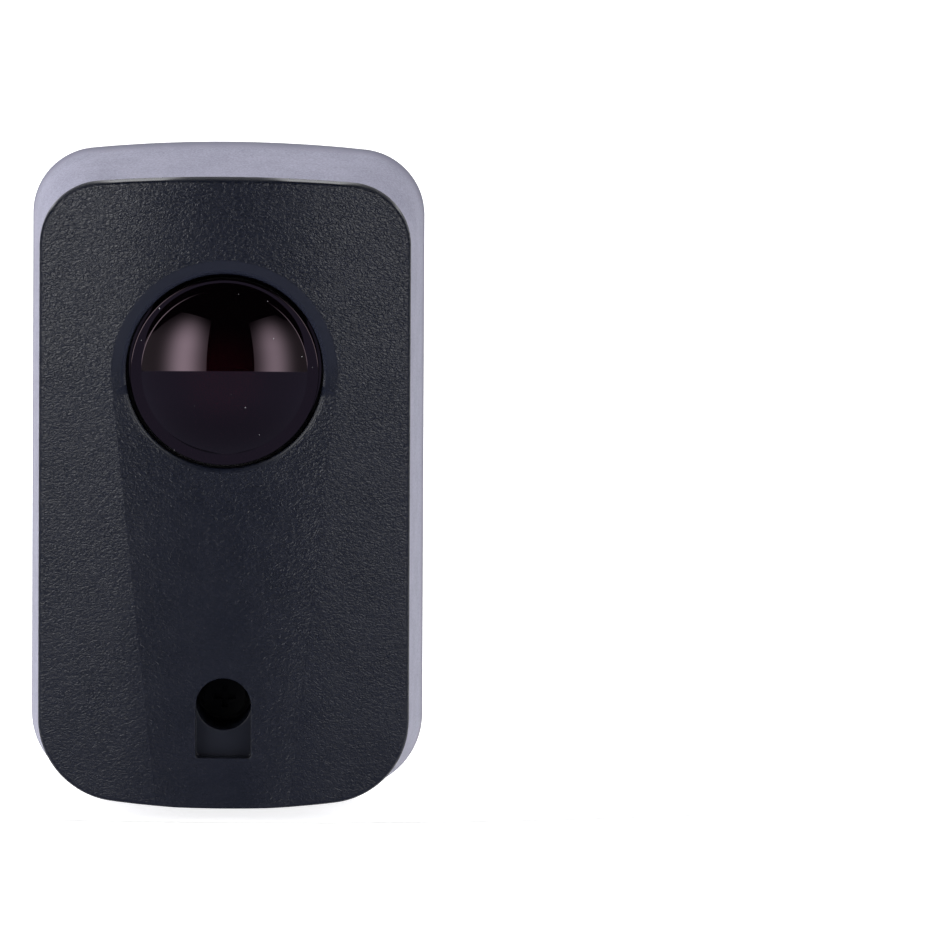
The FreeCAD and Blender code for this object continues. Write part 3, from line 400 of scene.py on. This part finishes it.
RESIN = (0.012, 0.012, 0.013, 1)
RESIN_PALE = (0.026, 0.026, 0.028, 1)
CERAMIC = (0.43, 0.31, 0.185, 1)
CERAMIC_PALE = (0.50, 0.37, 0.23, 1)
SOLDER = (0.60, 0.60, 0.58, 1)
CHIP_HALF = 1.95 * MILLIMETRE
CHIP_PART_HALF = 1.0 * MILLIMETRE
CHIP_PART_END = 0.35 * MILLIMETRE
END_BLUR = 0.05 * MILLIMETRE
BLOCK_LUMPS = 2400
BLOCK_DEPTH = 0.012 * MILLIMETRE


def block_finish(name, dark, pale, roughness):
    """A pressed block with a powdery grain. The second value takes a mask of its metal ends."""
    material, shader, place = new_finish(name)
    grain = place.noise(BLOCK_LUMPS, detail=3)
    body = grain.rise(0.35, 0.7).between(dark, pale)
    feed(shader, {"Roughness": roughness + grain * 0.16, "Normal": grain.relief(BLOCK_DEPTH, 0.6)})

    def metal_ends(mask):
        feed(shader, {"Base Color": mask.between(body, SOLDER), "Metallic": mask})

    feed(shader, {"Base Color": body})
    return material, place, metal_ends


resin_finish, _, _ = block_finish("pressed_black_resin", RESIN, RESIN_PALE, 0.5)
dress(resin_finish, "bridge_rectifier", "voltage_regulator")

chip_finish, place, metal_ends = block_finish("chip_resin_with_pins", RESIN, RESIN_PALE, 0.46)
chip_low, chip_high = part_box("controller_chip")
chip_middle = (chip_low.x + chip_high.x) / 2
metal_ends((place.split()[0] - chip_middle).size().rise(CHIP_HALF, CHIP_HALF + END_BLUR))
dress(chip_finish, "controller_chip")

resistor_finish, place, metal_ends = block_finish("chip_resistor_ends", RESIN, RESIN_PALE, 0.4)
resistor_low, resistor_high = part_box("chip_resistors")
across = place.split()[0]
columns = (resistor_low.x + CHIP_PART_HALF, resistor_high.x - CHIP_PART_HALF)
offsets = [(across - column).size() for column in columns]
end = CHIP_PART_HALF - CHIP_PART_END
metal_ends(offsets[0].math("MINIMUM", *offsets).rise(end, end + END_BLUR))
dress(resistor_finish, "chip_resistors")

ceramic_finish, place, metal_ends = block_finish("fired_ceramic_ends", CERAMIC, CERAMIC_PALE, 0.42)
row_low, row_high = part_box("chip_capacitors")
row_pitch = (row_high.x - row_low.x - 2 * CHIP_PART_HALF) / 3
steps = (place.split()[0] - (row_low.x + CHIP_PART_HALF)) / row_pitch + 0.5
offset = (steps.math("FRACT", steps) - 0.5).size() * row_pitch
metal_ends(offset.rise(end, end + END_BLUR))
dress(ceramic_finish, "chip_capacitors")


# Status light: a clear red resin light on the board, seen only with the cover off.
# The resin is cast, glossy and a little cloudy towards its rim.

LIGHT_RED = (0.52, 0.020, 0.016, 1)
LIGHT_RED_DEEP = (0.30, 0.010, 0.010, 1)
HAZE_LUMPS = 900
LIGHT_ROUGH = 0.08

light_finish, light_shader, place = new_finish("clear_red_resin")
haze = place.noise(HAZE_LUMPS, detail=2)
feed(
    light_shader,
    {
        "Base Color": haze.rise(0.35, 0.7).between(LIGHT_RED, LIGHT_RED_DEEP),
        "Roughness": LIGHT_ROUGH + haze * 0.1,
        "Transmission Weight": 0.4,
    },
)
dress(light_finish, "status_led")


# Front cover: the black cover that hooks over the housing's top edge and is held by one screw.
# It is moulded ABS with a fine leather grain, left smooth in the dish above the lens, in the screw
# recess and on the walls and lip of its holes. Its top edge is polished beside the hook. Pale flecks in
# the grain's colour are painted glints, and the smooth dish is painted lighter and bluer as a painted
# reflection.

COVER_BLACK = (0.0020, 0.0035, 0.0102, 1)
COVER_CHARCOAL = (0.0042, 0.0057, 0.0135, 1)
COVER_GLINT_FLECK = (0.0095, 0.0110, 0.0200, 1)
# The dish's lighter, bluer colour is a painted reflection of the light that the smooth dish mirrors.
DISH_PAINTED_SHEEN = (0.0085, 0.0105, 0.0215, 1)
LENS_UP = 20.2 * MILLIMETRE
DISH_RADIUS = 18.5 * MILLIMETRE
TROUGH_NARROWING = 0.107
FACE_BACK = -24.6 * MILLIMETRE
EDGE_ROUND = 0.3 * MILLIMETRE
HOLE_ROUND = 0.9 * MILLIMETRE
HOLE_REACH = 17.2 * MILLIMETRE
LIP_REACH = 16.6 * MILLIMETRE
GRAIN_DEPTH = 0.048 * MILLIMETRE
GRAIN_STRETCH = (0.85, 1.0, 1.2)
GRAIN_CREST = 6.0
GRAIN_FADE = 0.45
FOOT_MATT = 0.05
GRAIN_FADE_REACH = 45 * MILLIMETRE
WALL_FOOT = 44 * MILLIMETRE
WALL_ROUND = 8.0 * MILLIMETRE
WALL_ROUND_SHINY = 0.8 * MILLIMETRE
HOOK_HALF = 7.8 * MILLIMETRE
CORNER_START = 21.0 * MILLIMETRE
POLISH_FADE = 3.0 * MILLIMETRE
SIDE_START = 28 * MILLIMETRE
SHOULDER_TILT = math.radians(13.3)
FACE_LEAN = math.radians(2.7)
SHOULDER_AT = 17.7 * MILLIMETRE
CROWN_ALONG = 10.0
WRINKLE_LUMPS = 1600
PEBBLE_LUMPS = 3600
PEBBLE_SHARE = 0.9
FLECK_LUMPS = 2700
CLOUD_LUMPS = 120
COVER_ROUGH = 0.25
CLOUD_ROUGH = 0.06
SMOOTH_ROUGH = 0.10
DULL_ROUGH = 0.25
POLISH = 0.12

cover_finish, cover_shader, place = new_finish("grained_black_cover")
across, back, up = place.split()
rise = up - LENS_UP
reach = (across * across + rise * rise) ** 0.5
above = rise.rise(-4 * MILLIMETRE, 4 * MILLIMETRE)
in_dish = (1 - reach.rise(DISH_RADIUS - 0.4 * MILLIMETRE, DISH_RADIUS)) * above
on_face = 1 - back.rise(FACE_BACK - 0.3 * MILLIMETRE, FACE_BACK)
facing_up = place.output("Normal").split()[2]
top_wall = facing_up.rise(0.6, 0.8) * up.rise(WALL_FOOT, WALL_FOOT + MILLIMETRE)
beside_hook = across.size().rise(HOOK_HALF - POLISH_FADE, HOOK_HALF + POLISH_FADE)
before_corner = 1 - across.size().rise(CORNER_START - POLISH_FADE, CORNER_START + POLISH_FADE)
polished = top_wall * beside_hook * before_corner
facing_aside = place.output("Normal").split()[0].size()
side_wall = facing_aside.rise(0.55, 0.75) * across.size().rise(SIDE_START, SIDE_START + MILLIMETRE)
on_lip = 1 - reach.rise(LIP_REACH, LIP_REACH + 0.3 * MILLIMETRE)
grained = on_face * (1 - in_dish) * (1 - top_wall) * (1 - on_lip)
dull = top_wall - polished + side_wall
shiny = polished * POLISH + on_lip * POLISH
drawn_out = place.add("ShaderNodeMapping", {}, {"Vector": place, "Scale": GRAIN_STRETCH})
wrinkle = drawn_out.noise(WRINKLE_LUMPS, detail=2, roughness=0.5, distortion=0.4)
pebble = drawn_out.noise(PEBBLE_LUMPS, detail=1, roughness=0.5)
# Painted glints: pale flecks in the grain's colour stand in for the grain's small highlights.
painted_glint = drawn_out.noise(FLECK_LUMPS, detail=2, roughness=0.6).rise(0.5, 0.72)
ridge = 1 - (wrinkle - 0.5).size() * GRAIN_CREST
grain = ridge.math("MAXIMUM", ridge, 0.0) + (pebble - 0.5) * PEBBLE_SHARE


def shoulder_fall(distance):
    """How far the face falls away at a distance from its middle: ever steeper, then straight."""
    bent = distance.math("MINIMUM", distance, SHOULDER_AT)
    return (bent * distance - bent * bent * 0.5) * (SHOULDER_TILT / SHOULDER_AT)


trough_half = DISH_RADIUS + rise.math("MINIMUM", rise, 0.0) * TROUGH_NARROWING
outside = across.math("MAXIMUM", across.size(), trough_half * (1 - above))
fall = shoulder_fall(outside) - shoulder_fall(trough_half) + up * up * (0.5 / CROWN_ALONG)
fall = fall + across * FACE_LEAN
near_top = up.rise(-GRAIN_FADE_REACH, GRAIN_FADE_REACH)
strength = near_top * GRAIN_FADE + (1 - GRAIN_FADE)
height = grain * grained * strength - fall * (1 / GRAIN_DEPTH)
by_hole = 1 - reach.rise(HOLE_REACH, HOLE_REACH + MILLIMETRE)
hole_round = by_hole * (HOLE_ROUND - EDGE_ROUND) + EDGE_ROUND
wall_round = top_wall * WALL_ROUND - polished * (WALL_ROUND - WALL_ROUND_SHINY)
rounded = place.worn_edges(hole_round + wall_round)
cloud = place.noise(CLOUD_LUMPS, detail=3)
black = cloud.rise(0.3, 0.7).between(COVER_BLACK, COVER_CHARCOAL)
# The painted glints are mixed into the colour of the grained face only.
glint_flecked = (painted_glint * grained).between(black, COVER_GLINT_FLECK)
roughness = COVER_ROUGH + cloud * CLOUD_ROUGH + (1 - grained) * SMOOTH_ROUGH
roughness = roughness + dull * DULL_ROUGH + (1 - near_top) * FOOT_MATT - shiny
feed(
    cover_shader,
    {
        # Painted reflection: the smooth dish is coloured lighter and bluer than the rest of the cover.
        "Base Color": in_dish.between(glint_flecked, DISH_PAINTED_SHEEN),
        "Roughness": roughness,
        "Normal": height.relief(GRAIN_DEPTH, 1.0, Normal=rounded),
        "Specular IOR Level": 0.5,
    },
)
dress(cover_finish, "front_cover")


# Lens: the deep filter dome that lets only the invisible beam through, on a rim in the cover's hole.
# It is polished acrylic, black to the eye, moulded in one with a flange that the barrel presses against
# the cover from behind. The photodiode's window is the same plastic. Its deep red-purple is the plastic's
# own, painted brighter towards the dome's middle as a painted glow of light bouncing inside it.

FILTER_BLACK = (0.0006, 0.0002, 0.0004, 1)
PAINTED_GLOW_RED = (0.0040, 0.0003, 0.0008, 1)
FILTER_TINT = (1.0, 0.73, 0.88, 1)
DUST = (0.40, 0.40, 0.42, 1)
DUST_CELLS = 450
DUST_REACH = 0.05
DUST_SHARE = 0.95
LENS_STEPS = 192
ARC_STEP = math.radians(1.5)
QUARTER = math.radians(90)
DOME_FALL = math.radians(41.8)
DOME_ROUND = 20.15 * MILLIMETRE
FOOT_FALL = math.radians(9)
FOOT_ROUND = 0.35 * MILLIMETRE
RIM_FALL = math.radians(2.5)
RIM_HOLLOW = 10.2 * MILLIMETRE
LAND_FALL = math.radians(0.5)
LAND_HOLLOW = 8.9 * MILLIMETRE
SHOULDER_ROUND = 0.28 * MILLIMETRE
FLANGE_FRONT = -21.85 * MILLIMETRE
FLANGE_BACK = -19.85 * MILLIMETRE
BACK_EDGE = 12.65 * MILLIMETRE
MERGE_REACH = 0.002 * MILLIMETRE
RED_NEAR = 2 * MILLIMETRE
RED_FAR = 9 * MILLIMETRE
SMEAR_LUMPS = 420
SMEAR_ROUGH = 0.03
DUST_ROUGH = 0.5
LENS_ROUGH = 0.02
ACRYLIC_IOR = 1.49

lens_low, lens_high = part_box("lens")
lens_shape = bmesh.new()


def draw_arc(tip, fall, end_fall, radius):
    """Draws the lens's profile on along an arc. A fall of 0 runs outwards, and of 90 degrees back."""
    turn = end_fall - fall
    side = math.copysign(1, turn)
    centre = tip.co + Vector((0, math.cos(fall), -math.sin(fall))) * radius * side
    drawn = bmesh.ops.spin(
        lens_shape, geom=[tip], cent=centre, axis=(-side, 0, 0), angle=abs(turn),
        steps=math.ceil(abs(turn) / ARC_STEP),
    )
    return drawn["geom_last"][0]


def draw_line(tip, back, reach):
    """Draws the lens's profile straight on to a depth and a distance from the axis."""
    end = bmesh.ops.extrude_vert_indiv(lens_shape, verts=[tip])["verts"][0]
    end.co = (0, back, LENS_UP + reach)
    return end


tip = lens_shape.verts.new((0, lens_low.y, LENS_UP))
tip = draw_arc(tip, 0, DOME_FALL, DOME_ROUND)
tip = draw_arc(tip, DOME_FALL, FOOT_FALL, FOOT_ROUND)
tip = draw_arc(tip, FOOT_FALL, RIM_FALL, RIM_HOLLOW)
tip = draw_arc(tip, RIM_FALL, LAND_FALL, LAND_HOLLOW)
tip = draw_arc(tip, LAND_FALL, QUARTER, SHOULDER_ROUND)
tip = draw_line(tip, FLANGE_FRONT, tip.co.z - LENS_UP)
tip = draw_line(tip, FLANGE_FRONT, lens_high.x)
tip = draw_line(tip, FLANGE_BACK, lens_high.x)
tip = draw_line(tip, FLANGE_BACK, BACK_EDGE)
bulge = lens_high.y - FLANGE_BACK
back_round = (BACK_EDGE ** 2 + bulge ** 2) / (2 * bulge)
back_turn = math.asin(BACK_EDGE / back_round)
draw_arc(tip, 2 * QUARTER - back_turn, 2 * QUARTER, back_round)
bmesh.ops.spin(
    lens_shape, geom=lens_shape.verts[:] + lens_shape.edges[:], cent=(0, 0, LENS_UP), axis=(0, 1, 0),
    angle=4 * QUARTER, steps=LENS_STEPS, use_merge=True,
)
bmesh.ops.remove_doubles(lens_shape, verts=lens_shape.verts, dist=MERGE_REACH)
bmesh.ops.recalc_face_normals(lens_shape, faces=lens_shape.faces)
for face in lens_shape.faces:
    face.smooth = True
lens_mesh = bpy.data.meshes.new("filter_dome")
lens_shape.to_mesh(lens_mesh)
lens_shape.free()
lens_mesh.set_sharp_from_angle(angle=QUARTER / 2)

lens_finish, lens_shader, place = new_finish("polished_filter_acrylic")
across, _, up = place.split()
rise = up - LENS_UP
# Painted glow: the plastic's own deep red is painted brighter near the dome's middle, for light bouncing
# inside it.
depth = 1 - ((across * across + rise * rise) ** 0.5).rise(RED_NEAR, RED_FAR)
smear = place.noise(SMEAR_LUMPS, detail=3)
specks = place.add("ShaderNodeTexVoronoi", {}, {"Vector": place, "Scale": DUST_CELLS})
chance = specks.output("Color").split()[0]
in_speck = 1 - specks.rise(DUST_REACH * 0.6, DUST_REACH)
dusty = in_speck * (1 - chance.rise(DUST_SHARE, DUST_SHARE + 0.01))
filter_colour = depth.between(FILTER_BLACK, PAINTED_GLOW_RED)
feed(
    lens_shader,
    {
        "Base Color": dusty.between(filter_colour, DUST),
        "Roughness": LENS_ROUGH + smear.rise(0.55, 0.8) * SMEAR_ROUGH + dusty * DUST_ROUGH,
        "IOR": ACRYLIC_IOR,
        "Specular Tint": FILTER_TINT,
    },
)
dress(lens_finish, "photodiode")
lens_mesh.materials.append(lens_finish)
lens_piece = bpy.data.objects.new("filter_dome", lens_mesh)
bpy.context.scene.collection.objects.link(lens_piece)
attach(lens_piece, "root")
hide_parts("lens")


# Cover screw: the one screw that holds the cover, deep in its well under the lens.
# It is a self-tapping steel screw with a cross drive, chemically blackened.

OXIDE_BLACK = (0.0010, 0.0010, 0.0012, 1)
OXIDE_WORN = (0.0040, 0.0040, 0.0043, 1)
OXIDE_LUMPS = 1400
OXIDE_DEPTH = 0.01 * MILLIMETRE
OXIDE_ROUGH = 0.55

screw_finish, screw_shader, place = new_finish("blackened_steel_screw")
wear = place.noise(OXIDE_LUMPS, detail=4, roughness=0.65)
feed(
    screw_shader,
    {
        "Base Color": wear.rise(0.52, 0.75).between(OXIDE_BLACK, OXIDE_WORN),
        "Roughness": OXIDE_ROUGH + wear * 0.2,
        "Normal": wear.relief(OXIDE_DEPTH, 0.5),
        "Specular IOR Level": 0.15,
    },
)
dress(screw_finish, "cover_screw")


# Studio: a small white table under the object, a white paper sweep far round it, two tall soft boxes in
# front at the left and the right, and broad fills above and at both sides. The dome mirrors a dark room
# over a grey floor, as in the photograph, so the sweep is left out of reflections.

TABLE_RADIUS = 0.28
TABLE_BACK = 0.255
SWEEP_RADIUS = 7.0
SWEEP_HEIGHT = 6.0
SWEEP_CURVE = 2.0
SWEEP_DROP = 0.2 * MILLIMETRE
ROUND_STEPS = 96
PAPER_WHITE = (0.82, 0.82, 0.82, 1)
PAPER_GLOW = 0.8

paper, paper_shader, place = new_finish("white_paper")
ray = place.add("ShaderNodeLightPath", {}, {}, output="Is Camera Ray")
seen = ray + ray.output("Is Glossy Ray") + ray.output("Is Transmission Ray")
feed(
    paper_shader,
    {
        "Base Color": PAPER_WHITE,
        "Roughness": 0.9,
        "Specular IOR Level": 0.0,
        "Emission Color": seen.rise(0, 1).between((0, 0, 0, 1), (1, 1, 1, 1)),
        "Emission Strength": PAPER_GLOW,
    },
)


def stage_piece(name, shape):
    """Makes a bmesh a piece of the studio, in white paper."""
    mesh = bpy.data.meshes.new(name)
    shape.to_mesh(mesh)
    shape.free()
    mesh.materials.append(paper)
    piece = bpy.data.objects.new(name, mesh)
    bpy.context.scene.collection.objects.link(piece)
    return piece


table_level = cad_box[0].z
table_shape = bmesh.new()
bmesh.ops.create_circle(
    table_shape, cap_ends=True, segments=ROUND_STEPS, radius=TABLE_RADIUS,
    matrix=Matrix.Translation((0, TABLE_BACK, table_level)),
)
stage_piece("table", table_shape)

sweep_level = table_level - SWEEP_DROP
sweep_shape = bmesh.new()
bends = [math.radians(angle) for angle in range(0, 91, 10)]
flat_end = SWEEP_RADIUS - SWEEP_CURVE
profile = [(0, 0)]
for bend in bends:
    profile.append((flat_end + SWEEP_CURVE * math.sin(bend), SWEEP_CURVE * (1 - math.cos(bend))))
profile.append((SWEEP_RADIUS, SWEEP_HEIGHT))
points = [sweep_shape.verts.new((reach, 0, sweep_level + height)) for reach, height in profile]
runs = [sweep_shape.edges.new(pair) for pair in zip(points, points[1:])]
bmesh.ops.spin(
    sweep_shape, geom=points + runs, cent=(0, 0, 0), axis=(0, 0, 1), angle=2 * math.pi, steps=ROUND_STEPS,
    use_merge=True,
)
bmesh.ops.remove_doubles(sweep_shape, verts=sweep_shape.verts, dist=MILLIMETRE)
for face in sweep_shape.faces:
    face.smooth = True
sweep = stage_piece("sweep", sweep_shape)
sweep.visible_glossy = False

FOCUS = Vector((0, lens_low.y, LENS_UP))
BOX_OUTER = 0.85
BOX_INNER = 0.33
BOX_TOP = 0.814
BOX_FOOT = -0.16
BOX_SPREAD = 0.152
BOX_EDGE_GLOW = 0.07
BOX_DIM_FROM = 0.24
BOX_DIMMING = 0.93
BOX_CORNER = 1.15
BOX_CORNER_SLOPE = 1.25
BOX_CORNER_BLUR = 0.02
HORIZON = -0.164
HORIZON_TILT = 0.1035
HORIZON_BLUR = 0.006


def over_horizon(heading):
    """1 for a direction above the edge of the grey floor and 0 below it."""
    _, rearward, upward = heading.split()
    level = upward + rearward * HORIZON_TILT
    return level.rise(HORIZON - HORIZON_BLUR, HORIZON + HORIZON_BLUR)


def soft_box(name, azimuth, distance, radiance):
    """A tall soft box in front at one side, brightest in its middle and dim towards its sides and top."""
    turn = math.radians(azimuth)
    inward = -math.copysign(1, turn)
    aim = Vector((math.sin(turn), -math.cos(turn), 0))
    across = Vector((math.cos(turn), math.sin(turn), 0))
    upward = Vector((0, 0, 1))
    lamp = bpy.data.lights.new(name, "AREA")
    lamp.shape = "RECTANGLE"
    lamp.size = BOX_OUTER + BOX_INNER
    lamp.size_y = BOX_TOP - BOX_FOOT
    lamp.energy = math.pi * lamp.size * lamp.size_y
    lamp.use_nodes = True
    tree = lamp.node_tree
    spot = Wire(tree.nodes.new("ShaderNodeNewGeometry").outputs["Position"])
    way = spot.add("ShaderNodeVectorMath", {"operation": "SUBTRACT"}, {0: spot, 1: FOCUS})
    product = {"operation": "DOT_PRODUCT"}
    along = way.add("ShaderNodeVectorMath", product, {0: way, 1: across}, output="Value")
    heading = way.add("ShaderNodeVectorMath", {"operation": "NORMALIZE"}, {0: way})
    height = way.split()[2]
    aside = along / BOX_SPREAD
    bell = (aside * aside * -0.5).math("EXPONENT", aside * aside * -0.5)
    shine = bell * (1 - BOX_EDGE_GLOW) + BOX_EDGE_GLOW
    dimming = height.rise(BOX_DIM_FROM, BOX_TOP) * BOX_DIMMING
    slant = height - along * (inward * BOX_CORNER_SLOPE)
    corner = slant.rise(BOX_CORNER - BOX_CORNER_BLUR, BOX_CORNER + BOX_CORNER_BLUR)
    lit = over_horizon(heading) * (1 - corner)
    feed(tree.nodes["Emission"], {"Strength": shine * (1 - dimming) * lit * radiance})
    box = bpy.data.objects.new(name, lamp)
    bpy.context.scene.collection.objects.link(box)
    centre = FOCUS + aim * distance + across * inward * (BOX_INNER - BOX_OUTER) / 2
    centre += upward * (BOX_TOP + BOX_FOOT) / 2
    facing = Matrix((across, upward, aim)).transposed().to_4x4()
    box.matrix_world = Matrix.Translation(centre) @ facing
    box.visible_camera = False


soft_box("left_soft_box", -40, 0.8, 5.0)
soft_box("right_soft_box", 47.5, 0.9, 3.9)

FILL_SIZE = 1.2


def fill_lamp(name, where, radiance):
    """A broad soft lamp that brightens the housing and shows in no reflection."""
    lamp = bpy.data.lights.new(name, "AREA")
    lamp.shape = "DISK"
    lamp.size = FILL_SIZE
    lamp.energy = radiance * math.pi * math.pi * (FILL_SIZE / 2) ** 2
    fill = bpy.data.objects.new(name, lamp)
    bpy.context.scene.collection.objects.link(fill)
    fill.location = where
    fill.rotation_euler = Vector(where).to_track_quat("Z", "Y").to_euler()
    fill.visible_camera = False
    fill.visible_glossy = False


fill_lamp("overhead_fill", (-0.15, 0.35, 1.1), 2.3)
fill_lamp("left_fill", (-1.3, 0.3, 0.6), 3.3)
fill_lamp("right_fill", (1.3, 0.3, 0.6), 1.9)

ROOM_DARK = (0.008, 0.008, 0.010, 1)
FLOOR_GREY = (0.27, 0.29, 0.41, 1)
FLOOR_BELOW = (0.20, 0.215, 0.30, 1)
BACKDROP_WHITE = (1, 1, 1, 1)
BACKDROP_EDGE = 0.72
BACKDROP_BLUR = 0.1
BELOW = -1.0
BELOW_END = -0.4
room = bpy.data.worlds.new("dark_room")
room.use_nodes = True
heading = Wire(room.node_tree.nodes.new("ShaderNodeTexCoord").outputs["Generated"])
rearward = heading.split()[1]
wall = rearward.rise(BACKDROP_EDGE, BACKDROP_EDGE + BACKDROP_BLUR).between(ROOM_DARK, BACKDROP_WHITE)
ground = heading.split()[2].rise(BELOW, BELOW_END).between(FLOOR_BELOW, FLOOR_GREY)
mirrored = over_horizon(heading).between(ground, wall)
ray = heading.add("ShaderNodeLightPath", {}, {}, output="Is Camera Ray")
direct = ray + ray.output("Is Transmission Ray")
feed(room.node_tree.nodes["Background"], {"Color": direct.rise(0, 1).between(mirrored, BACKDROP_WHITE)})
bpy.context.scene.world = room


# Camera: a long lens in front, a little above and a hair to the right, as the photograph was taken.
# It stands far off, so that upright edges stay upright, and is rolled a hair as the picture is.

VIEW_ABOVE = math.radians(9.5)
VIEW_ASIDE = math.radians(1.04)
VIEW_ROLL = math.radians(0.28)
VIEW_DISTANCE = 6.5
FRAME_WIDTH = 0.15427
FRAME_RIGHT = 40.74 * MILLIMETRE
FRAME_UP = 3.1 * MILLIMETRE
COVER_MIDDLE = Vector((0, -25.5 * MILLIMETRE, 0))

towards = Vector((
    math.sin(VIEW_ASIDE) * math.cos(VIEW_ABOVE),
    -math.cos(VIEW_ASIDE) * math.cos(VIEW_ABOVE),
    math.sin(VIEW_ABOVE),
))
turned = (-towards).to_track_quat("-Z", "Y") @ Quaternion((0, 0, 1), VIEW_ROLL)
target = COVER_MIDDLE + turned @ Vector((FRAME_RIGHT, FRAME_UP, 0))
lens_data = bpy.data.cameras.new("long_lens")
lens_data.lens = lens_data.sensor_width * VIEW_DISTANCE / FRAME_WIDTH
lens_data.clip_end = 50
camera = bpy.data.objects.new("camera", lens_data)
bpy.context.scene.collection.objects.link(camera)
camera.location = target + towards * VIEW_DISTANCE
camera.rotation_mode = "QUATERNION"
camera.rotation_quaternion = turned
bpy.context.scene.camera = camera
bpy.context.scene.view_settings.view_transform = "Standard"
